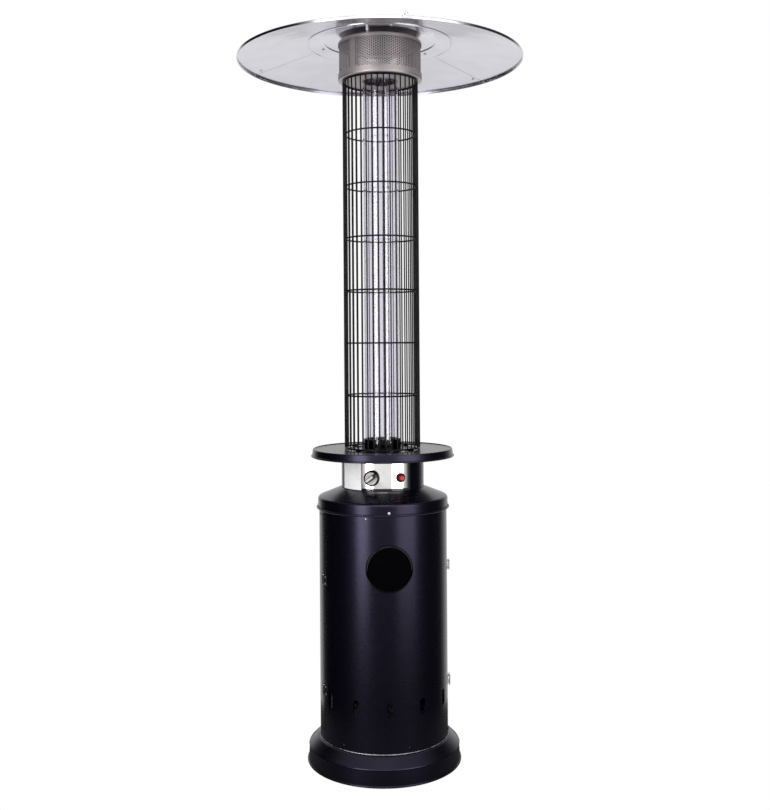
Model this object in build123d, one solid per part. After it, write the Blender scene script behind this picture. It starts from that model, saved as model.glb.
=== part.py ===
from build123d import *
import math
import os

# Flame patio heater: round gas-bottle housing on a wide base, control band, table ring, wire
# cage round a glass flame tube, perforated head and a three-panel reflector.
# Millimetres. +Z up, front towards -Y, origin on the floor under the middle of the base.
# An azimuth is counted in degrees from the front towards +X, seen from above.

# ---------------------------------------------------------------- driving dimensions
SHEET = 1.2                 # wall of every rolled or pressed painted sheet
POLISHED_SHEET = 1.0        # wall of the reflector's sheet
FIT = 0.3                   # gap between round pieces that nest in each other
SEAT_GAP = 0.1              # gap behind plates that lie on a round wall
PIN_PLAY = 0.05             # radial play of pins, stems and buttons
SCREW_PLAY = 0.1            # radial play of screws in their holes

HOUSING_RADIUS = 181.5
BASE_REACH = 34.5           # how far the base's foot stands out beyond the housing
BASE_DRAFT = 2.4
BASE_HEIGHT = 76.0
BASE_SHOULDER = 29.0        # height of the sloping shoulder over the crease
BASE_CREASE_BEND = 2.0
BASE_TOP_BEND = 4.0
BASE_TOP_FLAT = 2.8         # level strip between the shoulder and the housing
BEAD_HEIGHT = 8.0
BEAD_REACH = 2.7            # how far the rolled foot bead stands out of the base wall
PAN_LEVEL = 58.0            # ledge that carries the housing and the bottle floor
LEDGE_WIDTH = 18.0
PAN_FLANGE_TOP = 98.0

HOUSING_TOP = 738.0
HOUSING_SCREW_Z = 89.0
HOUSING_SCREW_START = -43.0
HOUSING_SCREW_RADIUS = 2.5
SLOT_WIDTH = 17.0
SLOT_HEIGHT = 44.0
SLOT_Z = 195.0
SLOT_PITCH = 30.0

DOOR_HINGE_AZIMUTH = -70.0
DOOR_LATCH_AZIMUTH = 88.0
DOOR_LOW = 104.0
DOOR_HIGH = HOUSING_TOP - 34
DOOR_EDGE_GAP = 2.0
DOOR_SWING = 110.0

HINGE_LEVELS = (DOOR_LOW + 114, DOOR_HIGH - 180)
HINGE_HEIGHT = 27.0
HINGE_LEAF = 14.0           # from the pin to the leaf's edge
HINGE_PLATE = 1.5
HINGE_PIN_RADIUS = 1.5
KNUCKLE_RADIUS = 3.0
KNUCKLE_STAND = 3.2         # pin axis outside the housing's wall

LATCH_LEVELS = (DOOR_LOW + 112, DOOR_HIGH - 159)
LATCH_HEIGHT = 27.0
LATCH_PLATE = 1.2
LEVER_PIVOT = (6.5, 5.0)    # outwards from the wall, and along it from the door seam
BAIL_PIVOT = (6.0, 12.0)
BAIL_LENGTH = 23.0
BAIL_WIRE_RADIUS = 1.0
BAIL_CLEARANCE = 1.0        # between the bail's arms and the lever's cheeks
LEVER_LENGTH = 22.0
LATCH_PIN_RADIUS = 1.25
HOOK_CLEARANCE = 0.8        # the bail is drawn just off the keeper's hook
EAR_INNER = 7.6             # half the room between the base's ears
LEVER_HALF = 10.5           # half the lever's width

DISC_RADIUS = 64.0
DISC_Z = DOOR_HIGH - 130
DISC_STAND = 7.0
DISC_EDGE = 5.0

STRUT_AZIMUTHS = (-62.0, 9.0, 80.0)
STRUT_RADIUS = 6.0
STRUT_INSET = 11.5          # strut's middle inside the housing's skin
STRUT_FOOT = (12.0, 24.0, 3.0)

LID_REACH = 3.1             # lid's skin outside the housing's
LID_LOW = HOUSING_TOP - 24
LID_EDGE = HOUSING_TOP + 8.5
LID_BEND = 10.0
LID_BEAD_REACH = 4.6
LID_BEAD_HEIGHT = 6.0
LID_SCREW_Z = HOUSING_TOP - 14
LID_SCREW_RADIUS = 2.0
LID_SCREW_AZIMUTHS = (0.0, 90.0, 180.0, 270.0)
LID_SEAT = 1.5              # flat step round the foot of the control band
LID_COLLAR_HEIGHT = 17.0
NECK_RADIUS = 117.0
NECK_LEVEL = HOUSING_TOP + 35
BULKHEAD_LOW = HOUSING_TOP - 20
BULKHEAD_SHELF = NECK_RADIUS + 11   # radius where the bulkhead's shelf turns up into its tower

PLATE_HALF_ANGLE = 34.5
PLATE_HEIGHT = 85.0
CONTROL_Z = NECK_LEVEL + 37
KNOB_AZIMUTH = -19.5
KNOB_RADIUS = 22.0
KNOB_DEPTH = 25.0
KNOB_SKIRT = 9.0
KNOB_GRIP = 11.0
KNOB_TILT = 37.0            # slant of the knob's grip bar at rest
STEM_RADIUS = 4.0
STEM_BUSH_RADIUS = 7.0
STEM_BUSH_LENGTH = 8.0
STEM_BUSH_SET = 2.0         # how deep the bush sits in the valve's boss
PUSH_TRAVEL = 3.0
VALVE_CIRCLE = NECK_RADIUS - 37     # distance of the valve's middle from the heater's axis
VALVE_DEPTH = 30.0
VALVE_HALF = 17.0
VALVE_BOSS_RADIUS = 11.0
PIPE_RADIUS = 5.0
NUT_DEPTH = 9.0
SPIGOT_RADIUS = 4.0
SPIGOT_LENGTH = 25.0
FEED_RADIUS = 4.0
FEED_BEND = 16.0
TILT_SWITCH_AZIMUTH = 100.0
IGNITER_AZIMUTH = 19.5
BEZEL_RADIUS = 13.0
BARREL_RADIUS = 9.0
BUTTON_RADIUS = 7.5
BEZEL_DEPTH = 4.0
BARREL_LENGTH = 40.0
BUTTON_GRIP = 8.0           # length of the button that stays in the bezel's bore
BUTTON_STAND = 5.0
BUTTON_TRAVEL = 4.0
VENT_RADIUS = 2.2
VENT_AZIMUTHS = (40.0, -72.0)
VENT_ROWS = 6
VENT_PITCH = 10.0

TABLE_TOP = NECK_LEVEL + 107
TABLE_RADIUS = NECK_RADIUS + 84
TABLE_DRAFT = 2.4
TABLE_DEPTH = 21.0
TABLE_LIP = 2.0
TABLE_LIP_WIDTH = 3.0
TABLE_BORE_STEP = 3.0       # shelf under the foot of the glass
TABLE_BEAD_REACH = 3.0
TABLE_BEAD_HEIGHT = 6.0
DECK_LEVEL = TABLE_TOP - 18.5
TUBE_RADIUS = 50.0
TUBE_WALL = 3.0
TUBE_FOOT = TABLE_TOP + 5
TUBE_TOP = TUBE_FOOT + 1063
BURNER_RADIUS = TUBE_RADIUS - 20
BURNER_HEIGHT = 31.0
BURNER_PORTS = 12
FITTING_CIRCLE = BURNER_RADIUS + 7.5    # pilot, thermocouple and electrode round the burner

TUBE_PLAY = 0.9
COLLAR_WALL = 2.6
COLLAR_TOP = TABLE_TOP + 29
COLLAR_TABS = 8
COLLAR_NOTCH = 8.0
TUBE_GROWTH = 2.0           # room above the glass for it to grow when hot
DIFFUSER_RADIUS = TUBE_RADIUS - 17
DIFFUSER_SLOTS = 12

CAGE_RADIUS = 106.0
CAGE_WIRES = 40
WIRE_RADIUS = 1.5
RING_RADIUS = 2.0
RING_BAYS = 7
CAGE_FOOT_THICK = 2.0
CAGE_FEET = (45.0, 135.0, 225.0, 315.0)
CAGE_SCREW_CIRCLE = CAGE_RADIUS - 14
CAGE_SCREW_RADIUS = 2.0

HEAD_LEVEL = TUBE_TOP - 21
HEAD_HEIGHT = 111.0
HEAD_RADIUS = CAGE_RADIUS + 13.6
SCREEN_RADIUS = HEAD_RADIUS - 3
HEAD_BASE_RIM = 20.0
HEAD_CAP_RIM = 12.0
SCREEN_HOLE = 9.0
SCREEN_COLUMNS = 30
SCREEN_ROWS = 4

CENTRE_FLAT = HEAD_RADIUS + 5.4     # level crown of the reflector's middle
PANEL_INNER = CENTRE_FLAT + 36
CENTRE_OUTER = PANEL_INNER + 39
CLAMP_OUTER = PANEL_INNER + 47
REFLECTOR_RADIUS = PANEL_INNER + 245.5
REFLECTOR_SLOPE = 12.2      # degrees below the horizontal
REFLECTOR_LIFT = 14.0       # crown of the reflector above the head
REFLECTOR_RIM = 8.0
PANELS = 3
SEAM_AZIMUTH = 3.0
SEAM_GAP = 0.3
LAP = 4.0                   # degrees by which a panel's lap covers its neighbour
SEAM_BOLT_CIRCLES = (PANEL_INNER + 15, REFLECTOR_RADIUS - 29.5)
STUD_CIRCLE = CENTRE_FLAT - 20
STUD_AZIMUTH = -24.0
STUD_RADIUS = 3.0
STUD_NUT_ACROSS = 10.0
STUD_NUT_HEIGHT = 5.0
SEAM_BOLT_RADIUS = 2.5

WHEEL_RADIUS = 35.0
WHEEL_WIDTH = 22.0
WHEEL_LIFT = 6.0            # the wheels only meet the floor when the heater is tipped back
WHEEL_TRACK = 180.0
AXLE_STAND = 29.0           # axle behind the base's foot
AXLE_RADIUS = 4.0

# ---------------------------------------------------------------- worked-out sizes
BASE_FOOT_RADIUS = HOUSING_RADIUS + BASE_REACH
BASE_CREASE_RADIUS = BASE_FOOT_RADIUS - BASE_DRAFT
LID_RADIUS = HOUSING_RADIUS + LID_REACH
STRUT_CIRCLE = HOUSING_RADIUS - STRUT_INSET
HOUSING_BORE = HOUSING_RADIUS - SHEET
NECK_BORE = NECK_RADIUS - SHEET
PLATE_RADIUS = NECK_RADIUS + SEAT_GAP + SHEET
SLOPE = math.tan(math.radians(REFLECTOR_SLOPE))
TABLE_UNDERSIDE = TABLE_TOP - SHEET
HEAD_TOP = HEAD_LEVEL + HEAD_HEIGHT
REFLECTOR_EDGE = HEAD_TOP + REFLECTOR_LIFT - (REFLECTOR_RADIUS - CENTRE_FLAT) * SLOPE - SEAT_GAP - POLISHED_SHEET
CAGE_LOW = TABLE_TOP + CAGE_FOOT_THICK
RING_HEIGHT = 2 * RING_RADIUS
DOOR_ARC = 360 + DOOR_HINGE_AZIMUTH - DOOR_LATCH_AZIMUTH
HINGE_AXIS_RADIUS = HOUSING_RADIUS + KNUCKLE_STAND
AXLE_Z = WHEEL_RADIUS + WHEEL_LIFT
AXLE_REACH = BASE_FOOT_RADIUS + AXLE_STAND


# ---------------------------------------------------------------- helpers
def at(azimuth):
    """Frame on the heater's axis whose X points outwards at an azimuth and Y runs on round."""
    return Rot(0, 0, azimuth - 90)


def spun(face, start=0.0, arc=360.0):
    """Solid of revolution of a face drawn as (radius, height)."""
    return at(start) * revolve(Rot(90, 0, 0) * face, Axis.Z, arc)


def sheet(points, wall=SHEET, bends=0.0, start=0.0, arc=360.0):
    """Spun sheet: the path is its visible skin, kept on the right hand, the wall lies behind."""
    path = FilletPolyline(*points, radius=bends)
    outline = offset(path, wall, side=Side.LEFT, closed=True, kind=Kind.INTERSECTION)
    return spun(make_face(outline), start, arc)


def ring(inner, outer, low, high, start=0.0, arc=360.0):
    """Plain ring or sector of one with an upright wall."""
    section = Pos((inner + outer) / 2, (low + high) / 2) * Rectangle(outer - inner, high - low)
    return spun(section, start, arc)


def turned(points):
    """Solid turned piece from its half outline."""
    return spun(make_face(Polyline(*points, close=True)))


def upright(radius, low, high):
    return Pos(0, 0, low) * Cylinder(radius, high - low, align=(Align.CENTER, Align.CENTER, Align.MIN))


def radial(radius, inner, outer, z):
    """Rod along X from one distance to another, for use in an at() frame."""
    rod = Cylinder(radius, outer - inner, align=(Align.CENTER, Align.CENTER, Align.MIN))
    return Pos(inner, 0, z) * Rot(0, 90, 0) * rod


def block(x0, x1, y0, y1, z0, z1):
    middle = ((x0 + x1) / 2, (y0 + y1) / 2, (z0 + z1) / 2)
    return Pos(*middle) * Box(x1 - x0, y1 - y0, z1 - z0)


def round_slot(azimuth, z, radius):
    """Cutter for an upright vent slot with round ends."""
    shape = extrude(SlotOverall(SLOT_HEIGHT, SLOT_WIDTH), 2 * SHEET, both=True)
    return at(azimuth) * Pos(radius, 0, z) * Rot(0, 90, 0) * shape


def outside_wall(gap=SEAT_GAP):
    """Everything inside the housing's outer wall, to fit a plate's back to it."""
    return upright(HOUSING_RADIUS + gap, 0, HOUSING_TOP)


# ---------------------------------------------------------------- base and bottle housing
def base_profile(gap=0.0):
    """Outside of the base from the floor up to its top, with a gap for what is seated on it."""
    foot, crease = BASE_FOOT_RADIUS + gap, BASE_CREASE_RADIUS + gap
    return [(foot, 0), (foot, BEAD_HEIGHT), (crease, BASE_HEIGHT - BASE_SHOULDER),
            (HOUSING_RADIUS + FIT + BASE_TOP_FLAT + gap, BASE_HEIGHT)]


def base_shell():
    collar = HOUSING_RADIUS + FIT
    skin = [*base_profile(), (collar, BASE_HEIGHT), (collar, PAN_LEVEL), (collar - LEDGE_WIDTH, PAN_LEVEL)]
    shell = sheet(skin, bends=[0, BASE_CREASE_BEND, BASE_TOP_BEND, 0, 0])
    edge = BASE_FOOT_RADIUS + BEAD_REACH
    chamfer = BEAD_REACH / 2
    bead = turned([(BASE_FOOT_RADIUS - SHEET, 0), (edge - chamfer, 0), (edge, chamfer),
                   (edge, BEAD_HEIGHT - chamfer), (edge - chamfer, BEAD_HEIGHT),
                   (BASE_FOOT_RADIUS - SHEET, BEAD_HEIGHT)])
    return shell + bead


def floor_pan():
    flange = HOUSING_BORE - FIT
    pan = upright(flange, PAN_LEVEL, PAN_LEVEL + SHEET)
    pan += ring(flange - SHEET, flange, PAN_LEVEL, PAN_FLANGE_TOP)
    for azimuth in housing_screw_azimuths():
        pan -= at(azimuth) * radial(HOUSING_SCREW_RADIUS + SCREW_PLAY, flange - 5, flange + 5, HOUSING_SCREW_Z)
    return pan


def housing_screw_azimuths():
    return [HOUSING_SCREW_START + 60 * i for i in range(6)]


def slot_azimuths():
    return [SLOT_PITCH * i for i in range(round(360 / SLOT_PITCH))]


def on_door(azimuth):
    return DOOR_LATCH_AZIMUTH < azimuth < DOOR_LATCH_AZIMUTH + DOOR_ARC


def edge_angle():
    """Angle by which each edge of the door stands back from its seam."""
    return math.degrees(DOOR_EDGE_GAP / 2 / HOUSING_RADIUS)


def housing():
    shell = ring(HOUSING_BORE, HOUSING_RADIUS, PAN_LEVEL, HOUSING_TOP)
    shell -= ring(HOUSING_BORE - 1, HOUSING_RADIUS + 1, DOOR_LOW, DOOR_HIGH,
                  DOOR_LATCH_AZIMUTH - edge_angle(), DOOR_ARC + 2 * edge_angle())
    for azimuth in slot_azimuths():
        clear_of_seam = abs(azimuth - DOOR_LATCH_AZIMUTH) > SLOT_PITCH / 2
        if not on_door(azimuth) and clear_of_seam:
            shell -= round_slot(azimuth, SLOT_Z, HOUSING_RADIUS)
    for azimuth in housing_screw_azimuths():
        shell -= at(azimuth) * radial(HOUSING_SCREW_RADIUS + SCREW_PLAY, HOUSING_BORE - 1,
                                      HOUSING_RADIUS + 1, HOUSING_SCREW_Z)
    for azimuth in LID_SCREW_AZIMUTHS:
        shell -= at(azimuth) * radial(LID_SCREW_RADIUS + SCREW_PLAY, HOUSING_BORE - 1,
                                      HOUSING_RADIUS + 1, LID_SCREW_Z)
    return shell


def door():
    low, high = DOOR_LOW + DOOR_EDGE_GAP, DOOR_HIGH - DOOR_EDGE_GAP
    shell = ring(HOUSING_BORE, HOUSING_RADIUS, low, high,
                 DOOR_LATCH_AZIMUTH + edge_angle(), DOOR_ARC - 2 * edge_angle())
    for azimuth in slot_azimuths():
        if on_door(azimuth) and azimuth - DOOR_LATCH_AZIMUTH > SLOT_PITCH / 2:
            shell -= round_slot(azimuth, SLOT_Z, HOUSING_RADIUS)
    return shell


def pan_screw(radius, head_radius, head_height, wall, length, z):
    """Pan-head screw along X whose head lies on a wall, for use in an at() frame."""
    head = Pos(wall, 0, z) * Rot(0, 90, 0) * pan_head(head_radius, head_height)
    return head + radial(radius, wall - length, wall, z)


def pan_head(radius, height):
    """Screw head on the XY plane with a chamfered crown."""
    crown = height / 2
    return turned([(0, 0), (radius, 0), (radius, height - crown), (radius - crown, height), (0, height)])


def housing_screws():
    wall = HOUSING_RADIUS + SEAT_GAP
    return [at(azimuth) * pan_screw(HOUSING_SCREW_RADIUS, 4.5, 2.6, wall, 9, HOUSING_SCREW_Z)
            for azimuth in housing_screw_azimuths()]


def front_disc():
    face = HOUSING_RADIUS + DISC_STAND
    disc = radial(DISC_RADIUS, HOUSING_RADIUS - 2 * DISC_STAND, face, DISC_Z)
    rim = disc.edges().filter_by(GeomType.CIRCLE).sort_by(Axis.X)[-1]
    disc = at(0) * fillet(rim, DISC_EDGE)
    return disc - outside_wall()


# ---------------------------------------------------------------- hinges
def hinge_frame():
    return at(DOOR_HINGE_AZIMUTH)


def knuckle_span():
    return HINGE_HEIGHT / 3


def hinge_leaf(side, knuckles):
    """Leaf with its rolled knuckles: side is +1 for the housing's leaf and -1 for the door's."""
    axis_x = HINGE_AXIS_RADIUS
    clear = KNUCKLE_RADIUS + FIT
    half = HINGE_HEIGHT / 2
    near, far = sorted((side * clear, side * HINGE_LEAF))
    leaf = block(HOUSING_RADIUS - 2, HOUSING_RADIUS + HINGE_PLATE, near, far, -half, half)
    for low, high in knuckles:
        near, far = sorted((0, side * clear))
        leaf += block(axis_x - KNUCKLE_RADIUS, axis_x - KNUCKLE_RADIUS + HINGE_PLATE, near, far, low, high)
        leaf += Pos(axis_x, 0, 0) * upright(KNUCKLE_RADIUS, low, high)
    return leaf - Pos(axis_x, 0, 0) * upright(HINGE_PIN_RADIUS + PIN_PLAY, -HINGE_HEIGHT, HINGE_HEIGHT)


def hinge_leaves(side):
    third, half = knuckle_span() / 2, HINGE_HEIGHT / 2
    if side > 0:
        knuckles = [(-half, -third - PIN_PLAY), (third + PIN_PLAY, half)]
    else:
        knuckles = [(-third + PIN_PLAY, third - PIN_PLAY)]
    return [hinge_frame() * Pos(0, 0, z) * hinge_leaf(side, knuckles) - outside_wall() for z in HINGE_LEVELS]


def hinge_pins():
    half = HINGE_HEIGHT / 2
    pins = []
    for z in HINGE_LEVELS:
        pin = upright(HINGE_PIN_RADIUS, z - half - 1, z + half)
        pin += upright(HINGE_PIN_RADIUS + 1, z + half, z + half + 1.2)
        pins.append(hinge_frame() * Pos(HINGE_AXIS_RADIUS, 0, 0) * pin)
    return pins


# ---------------------------------------------------------------- toggle latches
def latch_frame(z):
    return at(DOOR_LATCH_AZIMUTH) * Pos(HOUSING_RADIUS, 0, z)


def hook_top():
    return BAIL_PIVOT[0] - BAIL_WIRE_RADIUS - HOOK_CLEARANCE


def latch_keeper():
    """Keeper plate on the housing with its upstanding hook under the bail's cross bar."""
    bar_y = BAIL_PIVOT[1] - BAIL_LENGTH
    half = LATCH_HEIGHT / 2 - 3
    plate = block(-3, LATCH_PLATE, bar_y - 6, bar_y + 6, -half, half)
    hook = block(LATCH_PLATE, hook_top(), bar_y - 0.8, bar_y + 0.8, -4, 4)
    return plate + hook


def latch_base():
    """Riveted base on the door with two ears and the stub pins that carry the lever."""
    px, py = LEVER_PIVOT
    half = LATCH_HEIGHT / 2
    base = block(-3, LATCH_PLATE, 1.5, 24, -half + 2, half - 2)
    for side in (-1, 1):
        z0, z1 = sorted((side * EAR_INNER, side * (EAR_INNER + LATCH_PLATE)))
        ear = block(LATCH_PLATE, px, py - 2.5, py + 2.5, z0, z1)
        ear += Pos(px, py, 0) * upright(2.5, z0, z1)
        z0, z1 = sorted((side * EAR_INNER, side * (LEVER_HALF + 0.6)))
        base += ear + Pos(px, py, 0) * upright(LATCH_PIN_RADIUS, z0, z1)
    return base


def latch_lever():
    """Folded lever: a top plate between two cheeks that turn on the base's stub pins."""
    px, py = LEVER_PIVOT
    qx, qy = BAIL_PIVOT
    top = px + 3.5
    lever = block(top - LATCH_PLATE, top, py + 4.5, py + LEVER_LENGTH, -LEVER_HALF, LEVER_HALF)
    lip = Pos(top - LATCH_PLATE / 2, py + LEVER_LENGTH, 0) * upright(LATCH_PLATE, -LEVER_HALF, LEVER_HALF)
    lever += lip
    for side in (-1, 1):
        z0, z1 = sorted((side * (LEVER_HALF - LATCH_PLATE), side * LEVER_HALF))
        lever += block(px - 3, top, py - 3, py + LEVER_LENGTH - 4, z0, z1)
    lever -= Pos(px, py, 0) * upright(LATCH_PIN_RADIUS + PIN_PLAY, -LATCH_HEIGHT, LATCH_HEIGHT)
    return lever - Pos(qx, qy, 0) * upright(BAIL_WIRE_RADIUS + PIN_PLAY, -LATCH_HEIGHT, LATCH_HEIGHT)


def latch_bail():
    """Wire bail: a loop over the keeper whose ends hook inwards into the lever's cheeks."""
    qx, qy = BAIL_PIVOT
    arm = LEVER_HALF + BAIL_CLEARANCE + BAIL_WIRE_RADIUS
    bar_y = qy - BAIL_LENGTH
    end = LEVER_HALF - LATCH_PLATE - 0.3
    path = Polyline((qx, qy, end), (qx, qy, arm), (qx, bar_y, arm),
                    (qx, bar_y, -arm), (qx, qy, -arm), (qx, qy, -end))
    return sweep(Pos(qx, qy, end) * Circle(BAIL_WIRE_RADIUS), path=path, transition=Transition.RIGHT)


def latch_row(make):
    return [latch_frame(z) * make() - outside_wall() for z in LATCH_LEVELS]


# ---------------------------------------------------------------- struts, bulkhead and lid
def support_struts():
    depth, width, thick = STRUT_FOOT
    low = PAN_LEVEL + SHEET
    high = HOUSING_TOP - SHEET
    struts = []
    for azimuth in STRUT_AZIMUTHS:
        strut = upright(STRUT_RADIUS, low, high)
        for z in (low, high - thick):
            strut += block(-depth / 2, depth / 2, -width / 2, width / 2, z, z + thick)
        struts.append(at(azimuth) * Pos(STRUT_CIRCLE, 0, 0) * strut)
    return struts


def bulkhead():
    """Pressed heat shield over the bottle: flange in the housing, shelf, and tower under the neck."""
    flange = HOUSING_BORE - FIT
    tower = NECK_RADIUS + FIT
    crown = NECK_LEVEL - SHEET
    skin = [(flange, BULKHEAD_LOW), (flange, HOUSING_TOP), (BULKHEAD_SHELF, HOUSING_TOP),
            (tower, crown), (0, crown)]
    shield = sheet(skin)
    shield -= at(KNOB_AZIMUTH) * Pos(VALVE_CIRCLE, 0, 0) * upright(PIPE_RADIUS + FIT, crown - 5, crown + 5)
    for azimuth in LID_SCREW_AZIMUTHS:
        shield -= at(azimuth) * radial(LID_SCREW_RADIUS + SCREW_PLAY, flange - 3, flange + 1, LID_SCREW_Z)
    return shield


def lid():
    collar = NECK_BORE - FIT
    skin = [(LID_RADIUS, LID_LOW), (LID_RADIUS, LID_EDGE), (NECK_RADIUS + LID_SEAT, NECK_LEVEL),
            (collar, NECK_LEVEL), (collar, NECK_LEVEL + LID_COLLAR_HEIGHT)]
    shell = sheet(skin, bends=[LID_BEND, 0, 0])
    edge = LID_RADIUS + LID_BEAD_REACH
    chamfer = LID_BEAD_HEIGHT / 3
    shell += turned([(LID_RADIUS - SHEET, LID_LOW), (edge - chamfer, LID_LOW), (edge, LID_LOW + chamfer),
                     (edge, LID_LOW + LID_BEAD_HEIGHT - chamfer), (edge - chamfer, LID_LOW + LID_BEAD_HEIGHT),
                     (LID_RADIUS - SHEET, LID_LOW + LID_BEAD_HEIGHT)])
    for azimuth in LID_SCREW_AZIMUTHS:
        shell -= at(azimuth) * radial(LID_SCREW_RADIUS + SCREW_PLAY, LID_RADIUS - 3, LID_RADIUS + 3, LID_SCREW_Z)
    return shell


def lid_screws():
    wall = LID_RADIUS + SEAT_GAP
    length = wall - (HOUSING_BORE - FIT - SHEET) + 2
    return [at(azimuth) * pan_screw(LID_SCREW_RADIUS, 4.0, 2.4, wall, length, LID_SCREW_Z)
            for azimuth in LID_SCREW_AZIMUTHS]


# ---------------------------------------------------------------- control band and gas train
def control_box():
    box = ring(NECK_BORE, NECK_RADIUS, NECK_LEVEL, TABLE_UNDERSIDE)
    box -= at(KNOB_AZIMUTH) * radial(STEM_RADIUS + 2, NECK_BORE - 5, NECK_RADIUS + 5, CONTROL_Z)
    box -= at(IGNITER_AZIMUTH) * radial(BARREL_RADIUS + SCREW_PLAY, NECK_BORE - 5, NECK_RADIUS + 5, CONTROL_Z)
    for azimuth in VENT_AZIMUTHS:
        for i in range(VENT_ROWS):
            z = CONTROL_Z + (i - (VENT_ROWS - 1) / 2) * VENT_PITCH
            box -= at(azimuth) * radial(VENT_RADIUS, NECK_BORE - 2, NECK_RADIUS + 2, z)
    return box


def control_plate():
    plate = ring(PLATE_RADIUS - SHEET, PLATE_RADIUS, NECK_LEVEL, NECK_LEVEL + PLATE_HEIGHT,
                 -PLATE_HALF_ANGLE, 2 * PLATE_HALF_ANGLE)
    plate -= at(KNOB_AZIMUTH) * radial(STEM_RADIUS + 2, NECK_BORE, PLATE_RADIUS + 5, CONTROL_Z)
    return plate - at(IGNITER_AZIMUTH) * radial(BARREL_RADIUS + SCREW_PLAY, NECK_BORE, PLATE_RADIUS + 5, CONTROL_Z)


def valve_boss_face():
    """The boss stops where its edge meets the inside of the control band."""
    return math.sqrt((NECK_BORE - SEAT_GAP) ** 2 - VALVE_BOSS_RADIUS ** 2)


def gas_valve():
    """Valve block behind the knob with a bored boss for the stem's bush."""
    front = VALVE_CIRCLE + VALVE_DEPTH / 2
    body = block(VALVE_CIRCLE - VALVE_DEPTH / 2, front, -VALVE_HALF, VALVE_HALF,
                 CONTROL_Z - VALVE_HALF, CONTROL_Z + VALVE_HALF)
    body = chamfer(body.edges().filter_by(Axis.X), 4)
    body += radial(VALVE_BOSS_RADIUS, front, valve_boss_face(), CONTROL_Z)
    bore_end = valve_boss_face() - STEM_BUSH_LENGTH - STEM_BUSH_SET - PUSH_TRAVEL - 2
    body -= radial(STEM_BUSH_RADIUS + PIN_PLAY, bore_end, valve_boss_face() + 1, CONTROL_Z)
    return at(KNOB_AZIMUTH) * body


def bush_front():
    return valve_boss_face() - STEM_BUSH_SET


def stem_bush():
    """Thrust bush that the stem turns in and that travels inwards when the knob is pushed."""
    bush = radial(STEM_BUSH_RADIUS, bush_front() - STEM_BUSH_LENGTH, bush_front(), CONTROL_Z)
    return at(KNOB_AZIMUTH) * (bush - radial(STEM_RADIUS + PIN_PLAY, 0, PLATE_RADIUS, CONTROL_Z))


def knob_back():
    """The knob's flat back clears the curved plate by its push travel and a gap."""
    return PLATE_RADIUS + PUSH_TRAVEL + FIT


def valve_stem():
    inner = bush_front() - STEM_BUSH_LENGTH - 1
    return at(KNOB_AZIMUTH) * radial(STEM_RADIUS, inner, knob_back() + KNOB_SKIRT, CONTROL_Z)


def control_knob():
    """Moulded knob: a tapered skirt and a grip bar across it."""
    back = knob_back()
    skirt = Cone(KNOB_RADIUS, KNOB_RADIUS - 1.5, KNOB_SKIRT, align=(Align.CENTER, Align.CENTER, Align.MIN))
    skirt = chamfer(skirt.edges().group_by(Axis.Z)[-1], 1.5)
    grip = Pos(0, 0, KNOB_SKIRT) * extrude(SlotOverall(2 * KNOB_RADIUS - 5, KNOB_GRIP), KNOB_DEPTH - KNOB_SKIRT, taper=4)
    knob = Rot(0, 0, 90 + KNOB_TILT) * (skirt + grip)
    knob = Pos(back, 0, CONTROL_Z) * Rot(0, 90, 0) * knob
    bore = radial(STEM_RADIUS + PIN_PLAY, back - 1, back + KNOB_SKIRT, CONTROL_Z)
    return at(KNOB_AZIMUTH) * (knob - bore)


def igniter_body():
    """Panel bezel and barrel of the push igniter, bored for its button."""
    seat = PLATE_RADIUS + SEAT_GAP
    bezel = radial(BEZEL_RADIUS, seat, seat + BEZEL_DEPTH, CONTROL_Z)
    bezel = chamfer(bezel.edges().filter_by(GeomType.CIRCLE).sort_by(Axis.X)[-1], 1.5)
    body = bezel + radial(BARREL_RADIUS, seat - BARREL_LENGTH, seat, CONTROL_Z)
    bore = radial(BUTTON_RADIUS + PIN_PLAY, button_back() - BUTTON_TRAVEL - 1, seat + BEZEL_DEPTH + 1, CONTROL_Z)
    return at(IGNITER_AZIMUTH) * (body - bore)


def button_back():
    return PLATE_RADIUS + SEAT_GAP + BEZEL_DEPTH - BUTTON_GRIP


def igniter_button():
    button = radial(BUTTON_RADIUS, button_back(), button_back() + BUTTON_GRIP + BUTTON_STAND, CONTROL_Z)
    crown = button.edges().filter_by(GeomType.CIRCLE).sort_by(Axis.X)[-1]
    return at(IGNITER_AZIMUTH) * chamfer(crown, 1.2)


def inlet_pipe():
    """Gas inlet below the valve: pipe, union nut under the bulkhead and a plain hose spigot."""
    top = CONTROL_Z - VALVE_HALF
    crown = NECK_LEVEL - 2 * SHEET
    pipe = upright(PIPE_RADIUS, crown - NUT_DEPTH, top)
    pipe += Pos(0, 0, crown - NUT_DEPTH) * extrude(RegularPolygon(PIPE_RADIUS * 1.8, 6), NUT_DEPTH - FIT)
    pipe += upright(SPIGOT_RADIUS, crown - NUT_DEPTH - SPIGOT_LENGTH, crown - NUT_DEPTH)
    return at(KNOB_AZIMUTH) * Pos(VALVE_CIRCLE, 0, 0) * pipe


def burner_pipe():
    """Tube from the back of the valve to the foot of the burner."""
    back = VALVE_CIRCLE - VALVE_DEPTH / 2
    path = FilletPolyline((back, 0, CONTROL_Z), (0, 0, CONTROL_Z), (0, 0, DECK_LEVEL), radius=FEED_BEND)
    return at(KNOB_AZIMUTH) * sweep(Pos(back, 0, CONTROL_Z) * Rot(0, 90, 0) * Circle(FEED_RADIUS), path=path)


def tilt_switch():
    """Tip-over switch standing on the bulkhead's crown."""
    body = block(-13, 13, -9, 9, NECK_LEVEL - SHEET, NECK_LEVEL - SHEET + 24)
    body = fillet(body.edges().filter_by(Axis.Z), 3)
    return at(TILT_SWITCH_AZIMUTH) * Pos(VALVE_CIRCLE, 0, 0) * body


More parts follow.
